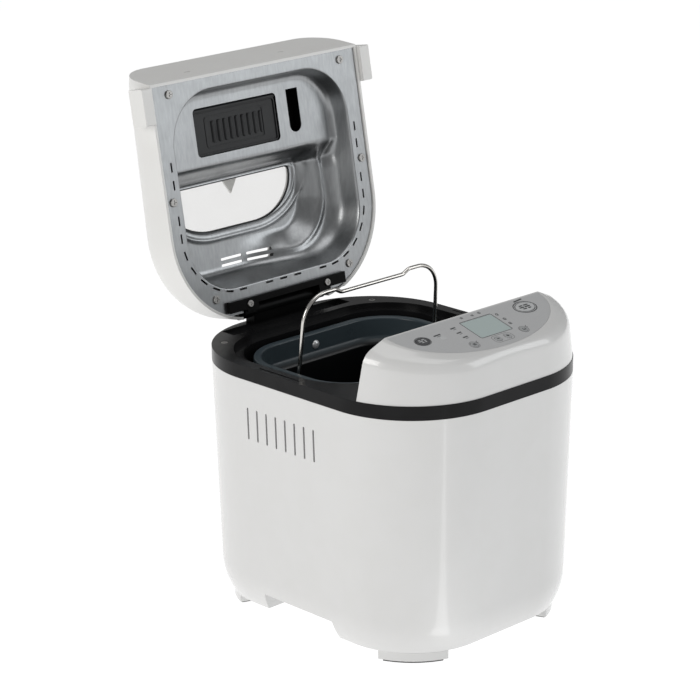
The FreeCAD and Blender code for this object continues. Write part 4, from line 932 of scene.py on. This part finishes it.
def lid_form(shrink, t0):
    """Outside of the lid drawn in by shrink."""
    big = lid_round - shrink
    rows = [casing_ring(shrink, plate_z + t) for t in (t0, 6.0)]
    for c, s in arc(12):
        top = plate_z - shrink - big * (1 - s)
        rows.append([(x, y, lid_height(y) + top) for x, y, _ in casing_ring(shrink + big * (1 - c), 0)])
    body = loft("lid", rows)
    lean = lid_front_lean / lid_front_rise
    front, beyond = lid_y(lid_front_s) + shrink, lid_y(lid_front_s + 200)
    low, high = plate_z - 5, plate_z + 90
    ends = [(front + 5 * lean, low), (front - 90 * lean, high), (beyond, high), (beyond, low)]
    return boolean(body, [prism_x(ends, -160, 160)])


def window_outline(grow):
    """D-shaped window as points in x and s: straight to the front, round to the hinge."""
    half, low, high = window_half + grow, window_s0 - grow, window_s1 + grow
    ring = []
    for quarter, (side, front) in enumerate(((1, True), (-1, True), (-1, False), (1, False))):
        rx = (window_small_r if front else window_bend_x) + grow
        rs = (window_small_r if front else window_bend_s) + grow
        cx = window_x + side * (half - rx)
        cs = high - rs if front else low + rs
        ring += [(cx + rx * c, cs + rs * s) for c, s in arc(20, 90 * quarter)]
    return ring


def window_tool(grow, t0, t1):
    return plate([(x, lid_y(s)) for x, s in window_outline(grow)], plate_z + t0, plate_z + t1)


def make_lid_outer():
    shell = lid_form(0.0, 0.0)
    boolean(shell, [lid_form(wall, -1.0)])
    boolean(shell, [block(-52, 52, lid_y(13), lid_y(-20), plate_z - 1, plate_z + 22)])
    boolean(shell, [block(-300, 300, hinge_y, hinge_y + 30, plate_z - 1, plate_z + 2.5)])
    tools = [window_tool(2.0, 30, 90)]
    for x0, x1 in ((-29.5, -2.2), (1.2, 30.0)):
        for s in (36.8, 42.3):
            vent = slab((x1 - x0) / 2, 2.3, 2.3, plate_z + 40, plate_z + 90, lid_y(s), (x0 + x1) / 2, 6)
            tools.append(vent)
    tools.append(lid_block(hopper_x0, hopper_x1, hopper_s0, hopper_s1, 30, 90))
    boolean(shell, tools)
    # seat of the outer hopper cover, a tongue over the window, and room for the cover's finger tab
    seat_t = -cover_t - 0.3
    seat = block(hopper_x0 - 6.3, hopper_x1 + 6.3, lid_front_s - 202.3, lid_front_s - 128.7, seat_t, 5)
    boolean(shell, [turned(seat, on_lid_top)])
    tip = [(-18.9, lid_y(118.0)), (3.7, lid_y(118.0)), (-7.6, lid_y(100.0))]
    rows = [[(x, y, plate_z + lid_height(y) + rise) for x, y in tip] for rise in (-2.4, -0.2)]
    boolean(shell, [loft("tongue", rows)], "UNION")
    tab = [(-14.0, lid_front_s - 128.0), (4.0, lid_front_s - 128.0), (-5.0, lid_front_s - 98.2)]
    boolean(shell, [turned(plate(tab, seat_t, 5), on_lid_top)])
    root = ((212.0, 0.5), (180.0, 0.5), (180.0, 14.0), (212.0, 14.0))
    for side in (1, -1):
        ring = [(lid_y(s), plate_z + t) for s, t in root]
        boolean(shell, [prism_x(ring, side * (half_width - 1.5), side * (half_width + 1))], "UNION")
        turn = Matrix(((0, 0, side, side * (half_width + 0.6)), (1, 0, 0, lid_y(196.0)),
                       (0, 1, 0, plate_z + 5.0), (0, 0, 0, 1)))
        boolean(shell, [turned(slab(16.0, 9.0, 1.5, 0, 11.0, corner=5), turn)], "UNION")
    soften(shell, 0.8, 3)
    tools = []
    for x, t in ((-66.0, 15.5), (48.0, 19.5)):
        y = lid_y(lid_front_s) - lid_front_lean * t / lid_front_rise
        tools.append(block(x - 3.4, x + 3.4, y - 4, y + 5, plate_z + t - 0.9, plate_z + t + 0.9))
    boolean(shell, tools)
    shell.name = "lid_cover"
    dress(shell, lid_stand, "lid", lid_white_painted_light, ["lid_outer"])


def eased(u, r):
    """Nought below nought, then rising as u, with a rounded start."""
    return np.where(u < -r, 0.0, np.where(u > r, u, (u + r) ** 2 / (4 * r)))


def ramp(u, r):
    """From nought to one with both ends rounded."""
    return 1 - eased(1 - eased(u, r), r)


def polygon_distance(x, y, corners):
    """Distance from a convex outline, less than nought inside it."""
    away = np.full(x.shape, 1e9)
    inside = np.full(x.shape, True)
    for (x0, y0), (x1, y1) in zip(corners, corners[1:] + corners[:1]):
        ex, ey = x1 - x0, y1 - y0
        share = np.clip(((x - x0) * ex + (y - y0) * ey) / (ex * ex + ey * ey), 0, 1)
        away = np.minimum(away, np.hypot(x - x0 - share * ex, y - y0 - share * ey))
        inside &= ex * (y - y0) - ey * (x - x0) >= 0
    return np.where(inside, -away, away)


def bead_outline():
    """Line of the bead pressed round the window."""
    grown = window_outline(7.0)
    return [(x + 5.0 * max(0.0, min(1.0, (x - 10.0) / 50.0)), s) for x, s in grown]


def liner_floor(x, s):
    """Depth of the pressing: platform, sloping step, shelf and the deep part with the window."""
    round_r = 42.0
    basin_x, basin_s = 82.0 - round_r, 41.5 + round_r
    basin = [(-200.0, basin_s), (basin_x, basin_s), (basin_x, 140.0), (-200.0, 140.0)]
    edge = polygon_distance(x, s, basin) - round_r
    deep = ramp((-edge - 0.5) / 15.0, 0.2)
    crescent = ramp((x + 4.0) / 46.0, 0.3)
    shelf = pocket_t + (shelf_t - pocket_t) * crescent
    low = shelf + (pocket_t - shelf) * deep - 1.7 * crescent * np.exp(-((edge - 0.8) / 3.6) ** 2)
    rim = polygon_distance(x, s, bead_outline())
    low = low - 1.3 * np.exp(-(rim / 1.8) ** 2) - 0.9 * np.exp(-((rim + 7.5) / 1.3) ** 2)
    raised = ramp((s - platform_s + 14.5) / 14.5, 0.20)
    return low + (platform_t - low) * raised


def liner_depth(x, s, d):
    """Depth below the lid's plate at a place d inside the pocket's edge."""
    rise = liner_floor(x, s) - liner_in
    raised = ramp((s - platform_s + 22.0) / 22.0, 0.2)
    bowl = ramp((x - 2.0) / 60.0, 0.3) * (1 - raised)
    bend = 7.0 + 13.0 * bowl
    steep = 6.0 - 2.8 * bowl - 1.6 * raised
    run = np.sqrt(steep ** 2 + 1)
    centre = (rise - bend + bend * run) / steep
    touch = centre - bend * steep / run
    wall_part = steep * eased(d, 0.9)
    inside = np.clip(bend ** 2 - (d - centre) ** 2, 0, None)
    curve = rise - bend + np.sqrt(inside)
    depth = np.where(d >= centre, rise, np.where(d > touch, curve, wall_part))
    return liner_in + np.where(d < -0.9, 0.0, depth)


def dash_spots():
    """Places and directions of the slots along the pocket's edge."""
    side, back, bend = pocket_half + 6.5, pocket_back_s - 3.0, 56.0
    flat = side - bend
    quarter = bend * math.pi / 2
    spots = []
    for step in range(14):
        run = 17.2 + 15.6 * (step - 1) if step else 0.0
        if step in (2, 11):
            continue
        if run < flat:
            spot = (run, back, 0.0)
        elif run < flat + quarter:
            turn = (run - flat) / bend
            spot = (flat + bend * math.sin(turn), back + bend - bend * math.cos(turn), turn)
        else:
            spot = (side, back + bend + run - flat - quarter, math.pi / 2)
        spots.append(spot)
        if step:
            spots.append((-spot[0], spot[1], -spot[2]))
    return spots


def make_liner():
    corner, side = 22, 92
    mid_s = (pocket_back_s + pocket_front_s) / 2
    half_s = (pocket_front_s - pocket_back_s) / 2
    steps = [-1.6, -0.9, -0.5, -0.1, 0.3, 0.7, 1.1, 1.6, 2.2, 2.8, 3.4, 4.0, 4.6, 5.3, 6.0, 6.8, 7.7, 8.7,
             9.8, 11.0, 12.3, 13.7, 15.2, 16.8, 18.5, 20.3, 22.0, 23.7, 25.4, 27.1, 28.8, 30.5, 32.2, 34.0]

    def pocket_ring(d):
        return np.array(outline(pocket_half - d, half_s - d, pocket_r - d, corner, side, 0.0))

    def pressed(flat, d):
        """Places on the pressing, d inside the pocket's edge."""
        s = mid_s - flat[:, 1]
        return [(x, lid_y(v), plate_z + t) for x, v, t in zip(flat[:, 0], s, liner_depth(flat[:, 0], s, d))]

    d = wall + 0.2
    points = level(outline(half_width - d, half_depth - d, corner_r - d, corner, side), plate_z + liner_in)
    count = len(points)
    faces = []
    for k, d in enumerate(steps):
        points += pressed(pocket_ring(d), d)
        faces += quads(range(k * count, (k + 1) * count), range((k + 1) * count, (k + 2) * count))
    # the middle is a net whose edge is the last ring
    span = corner + side
    order = (corner // 2 + np.arange(count)) % count

    def sides(ring):
        """Four sides of a ring: top, left, low and right, from corner to corner."""
        closed = np.concatenate([ring, ring[:1]])
        return (closed[:span + 1], closed[span:2 * span + 1],
                closed[2 * span:3 * span + 1][::-1], closed[3 * span:][::-1])

    top, left, low, right = sides(pocket_ring(steps[-1])[order])
    grid = np.zeros((span + 1, span + 1), int)
    grid[0], grid[:, span], grid[span], grid[:, 0] = sides(len(steps) * count + order)
    grid[1:span, 1:span] = len(points) + np.arange((span - 1) ** 2).reshape(span - 1, span - 1)
    u = (np.arange(1, span) / span)[None, :, None]
    v = u.swapaxes(0, 1)
    inner = ((1 - v) * top[None, 1:span] + v * low[None, 1:span]
             + (1 - u) * right[1:span, None] + u * left[1:span, None]
             - ((1 - u) * (1 - v) * top[0] + u * (1 - v) * top[span]
                + u * v * left[span] + (1 - u) * v * low[0])).reshape(-1, 2)
    reach = np.minimum(pocket_half - np.abs(inner[:, 0]), half_s - np.abs(inner[:, 1]))
    points += pressed(inner, np.maximum(reach, steps[-1]))
    faces += [(grid[r, c], grid[r, c + 1], grid[r + 1, c + 1], grid[r + 1, c])
              for r in range(span) for c in range(span)]
    liner = form("liner", points, [tuple(int(i) for i in f) for f in faces])
    if sum(p.normal.z for p in liner.data.polygons) > 0:
        liner.data.flip_normals()
    thick = liner.modifiers.new("thick", "SOLIDIFY")
    thick.thickness = sheet
    thick.offset = -1.0
    settle(liner)
    front_y = lid_y(lid_front_s) + wall + 0.05
    for half, y0, y1 in ((300, -400, front_y), (300, lid_y(1.0), 400), (52, lid_y(12.5), 400)):
        boolean(liner, [block(-half, half, y0, y1, plate_z - 5, plate_z + 5)])
    below, above = plate_z + platform_t - 3, plate_z + platform_t + 5
    tools = [window_tool(0.0, 30, 60),
             slab((hopper_x1 - hopper_x0) / 2, (hopper_s1 - hopper_s0) / 2, 4.0, below, above,
                  lid_y((hopper_s0 + hopper_s1) / 2), (hopper_x0 + hopper_x1) / 2)]
    slot = [(48.0, 184.5), (62.0, 184.5)] + [(55 + 7 * c, 152 - 7 * s) for c, s in arc(16, span=180)]
    tools.append(plate([(x, lid_y(s)) for x, s in slot], below, above))
    for x0, x1 in ((-34.0, -9.5), (-4.5, 21.5)):
        for s in (38.5, 44.2):
            tools.append(slab((x1 - x0) / 2, 1.2, 1.2, plate_z + 20, plate_z + pocket_t + 5,
                              lid_y(s), (x0 + x1) / 2, 5))
    for x, s, turn in dash_spots():
        dash = slab(4.2, 0.9, 0.5, plate_z - 2, plate_z + 4, corner=3)
        tools.append(turned(dash, Matrix.Translation((x, lid_y(s), 0)) @ Matrix.Rotation(-turn, 4, "Z")))
    for x, s in screw_spots:
        for mirrored in (x, -x):
            tools.append(drum(mirrored, lid_y(s), 1.8, plate_z - 2, plate_z + 4, count=20))
    boolean(liner, tools)
    tidy(liner)
    liner.name = "lid_pressing"
    dress(liner, lid_stand, "lid", liner_metal, ["lid_liner"], 50)


def make_window():
    """Clear pane and the grey seal that holds it."""
    pane = window_tool(pane_over, pane_t0, pane_t1)
    soften(pane, 0.2, 2)
    pane.name = "clear_window"
    dress(pane, lid_stand, "lid", clear, ["window_pane"])
    lip, seat = -1.3, pane_over + 0.2
    low, under, top = pane_t0 - 0.45, pane_t0 - 0.05, pane_t1 + 0.1
    around = ((lip, low), (gasket_over, low), (gasket_over, top), (seat, top), (seat, under), (lip, under))
    rows = [[(x, lid_y(s), plate_z + t) for x, s in window_outline(grow)] for grow, t in around]
    seal = loft("window_seal", rows, loop=True)
    dress(seal, lid_stand, "lid", gasket_grey, ["window_gasket"])


def make_flap():
    """Hopper flap: a framed plate with soft ribs."""
    x0, x1 = hopper_x0 + 0.6, hopper_x1 - 0.6
    axis_t = platform_t + sheet + 2.6
    t0 = axis_t - 1.0
    low = plate_z + t0
    flap_s = hopper_s1 - 2.8
    mid_x, mid_y = (x0 + x1) / 2, lid_y((hopper_s0 + flap_s) / 2)

    def rod(r, count, reach):
        line = ellipse(lid_y(flap_s), plate_z + axis_t, r, r, count)
        return prism_x(line, x0 - reach, x1 + reach)

    flap = lid_block(x0, x1, hopper_s0 + 0.6, flap_s, t0, t0 + 2.0)
    boolean(flap, [rod(2.4, 24, 0)], "UNION")
    border = framed_plate(mid_x, mid_y, (x1 - x0) / 2 - 1.6, (flap_s - hopper_s0) / 2 - 1.8, 2.5, 1.2,
                          low - 1.1, low + 0.4)
    field = framed_plate(mid_x - 1.0, mid_y, 33.5, 13.0, 2.5, 1.0, low - 0.5, low + 0.4)
    boolean(flap, [border, field], "UNION")
    count = 9
    ribs = []
    for i in range(count):
        x = hopper_x0 + 22.5 + 56.5 * i / (count - 1)
        rows = []
        for d, w in ((0.0, 0.5), (0.0, -0.4), (0.35, -0.9), (0.8, -1.15), (1.2, -1.2)):
            ring = outline(1.75 - d, 9.8 - d, 1.7 - d, 6, 1)
            rows.append([(p + x, q + mid_y, low + w) for p, q in ring])
        ribs.append(loft("rib", rows))
    boolean(flap, ribs, "UNION")
    boolean(flap, [rod(1.25, 20, 5)])
    soften(flap, 0.35, 2)
    flap.name = "ribbed_flap"
    dress(flap, lid_stand, "hopper_flap_body", flap_black, ["hopper_flap"])


# ---- pieces kept as the CAD has them
def keep(node, finish, edge=0.0, crisp=32.0):
    """A CAD piece in a better finish, with eased edges where it shows."""
    obj = frame["nodes"][node]
    obj.data.materials.clear()
    obj.data.materials.append(finish)
    obj.data.shade_smooth()
    weld = obj.modifiers.new("weld", "WELD")
    weld.merge_threshold = 0.000004
    flat = obj.modifiers.new("flat", "DECIMATE")
    flat.decimate_type = "DISSOLVE"
    flat.angle_limit = math.radians(0.6)
    if edge:
        ease = obj.modifiers.new("edge", "BEVEL")
        ease.width = edge * MM
        ease.segments = 2
        ease.limit_method = "ANGLE"
        ease.angle_limit = math.radians(crisp)
        ease.harden_normals = True
    else:
        split = obj.modifiers.new("crisp", "EDGE_SPLIT")
        split.split_angle = math.radians(crisp)
    even = obj.modifiers.new("even", "WEIGHTED_NORMAL")
    even.keep_sharp = True


def keep_pieces():
    kept = (
        (white, 0.5, "base_plate"), (white, 0.8, "feet"),
        (rubber, 0.4, "foot_pads"), (rubber, 0.5, "cord_gland"),
        (rubber, 0.2, "drive_belt shaft_seal"), (oven_metal, 0.0, "oven_liner element_clips pan_clips"),
        (oven_metal, 0.3, "temperature_probe"), (oven_metal, 0.2, "motor_bracket"),
        (element_metal, 0.0, "heating_element"), (bronze, 0.2, "drive_bearing"),
        (motor_enamel, 0.5, "motor_frame"),
        (copper, 0.4, "motor_stator"), (board_green, 0.0, "power_board control_board"),
        (pale_key, 0.15, "indicator_lens"), (black_matt, 0.2, "lcd_module"),
        (black_matt, 0.3, "hopper hopper_cover"), (black_matt, 0.5, "hinge_block hinge_plate"),
        (screw_metal, 0.0, "collar_screws bracket_screws circlip lid_screws flap_pin hinge_screws"),
        (screw_metal, 0.2, "drive_shaft motor_rotor hinge_pin"), (screw_metal, 0.3, "pan_spindle"),
        (cast_metal, 0.4, "drive_dog pan_foot_ring"), (cast_metal, 0.3, "pan_bearing pan_dog"),
        (nylon, 0.3, "drive_pulley"), (nylon, 0.2, "motor_pulley cooling_fan"), (pan_coat, 0.8, "paddle"),
    )
    for finish, edge, nodes in kept:
        for node in nodes.split():
            keep(node, finish, edge)


# ---- floor, light and camera
def make_floor():
    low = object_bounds()[0]
    half = 9.0
    mesh = bpy.data.meshes.new("studio_floor")
    corners = ((-half, -half), (half, -half), (half, half), (-half, half))
    mesh.from_pydata(level(corners, low.z), [], [(0, 1, 2, 3)])
    floor = bpy.data.objects.new("studio_floor", mesh)
    bpy.context.scene.collection.objects.link(floor)
    made = Finish("pale_floor", (0.16, 0.16, 0.16), 0.9)
    made.put("Emission Color", (1.0, 1.0, 1.0, 1.0))
    made.put("Emission Strength", 0.94)
    mesh.materials.append(made.material)


def area_light(name, place, aim, size, power, color=(1, 1, 1)):
    """Soft rectangular light that faces a point."""
    data = bpy.data.lights.new(name, "AREA")
    data.shape = "RECTANGLE"
    data.size, data.size_y = size
    data.energy = power
    data.color = color
    lamp = bpy.data.objects.new(name, data)
    lamp.location = place
    lamp.rotation_euler = (Vector(aim) - Vector(place)).to_track_quat("-Z", "Y").to_euler()
    bpy.context.scene.collection.objects.link(lamp)


def light_studio():
    world = bpy.data.worlds.new("studio")
    bpy.context.scene.world = world
    world.use_nodes = True
    sky = world.node_tree.nodes["Background"]
    sky.inputs["Color"].default_value = (1.0, 1.0, 1.0, 1.0)
    sky.inputs["Strength"].default_value = 0.27
    middle = (0, 0, 0.22)
    area_light("key", (-2.8, 0.1, 1.3), middle, (1.2, 1.4), 29.5, (1.0, 0.985, 0.96))
    area_light("fill", (1.7, -2.0, 1.2), middle, (1.2, 1.6), 13.5, (0.96, 0.985, 1.0))
    area_light("top", (0.2, -0.2, 2.4), middle, (1.6, 1.6), 11)
    # a narrow light flat on the floor that shows as an upright streak on the rounded front corner
    turn = math.radians(-97.5)
    foot = Vector((-0.075, -0.135 + middle_y * MM, 0.002))
    place = foot + Vector((math.cos(turn), math.sin(turn), 0)) * 0.45
    area_light("streak", place, place + Vector((0, 0, 1)), (0.86, 0.03), 0.13)
    bpy.data.objects["streak"].rotation_euler = (math.pi, 0, turn)
    scene = bpy.context.scene
    scene.view_settings.view_transform = "Standard"
    scene.view_settings.look = "None"


def aim_camera():
    data = bpy.data.cameras.new("view_camera")
    data.sensor_width = 36.0
    data.lens = 139.99
    data.shift_x = -0.0586
    camera = bpy.data.objects.new("view_camera", data)
    right = Vector((0.70807, -0.70613, -0.00429))
    up = Vector((0.21973, 0.21455, 0.95168))
    ahead = Vector((0.67109, 0.67480, -0.30707))
    turn = Matrix((right, up, -ahead)).transposed().to_4x4()
    place = stand @ Vector((-1579.1, -1587.8, 955.1))
    camera.matrix_world = Matrix.Translation(place) @ turn
    bpy.context.scene.collection.objects.link(camera)
    bpy.context.scene.camera = camera


make_shell()
make_collar()
make_housing()
make_overlay()
make_keys()
make_prints()
make_pan()
make_rivets()
make_bail()
make_lid_outer()
make_liner()
make_window()
make_flap()
keep_pieces()
make_floor()
light_studio()
aim_camera()
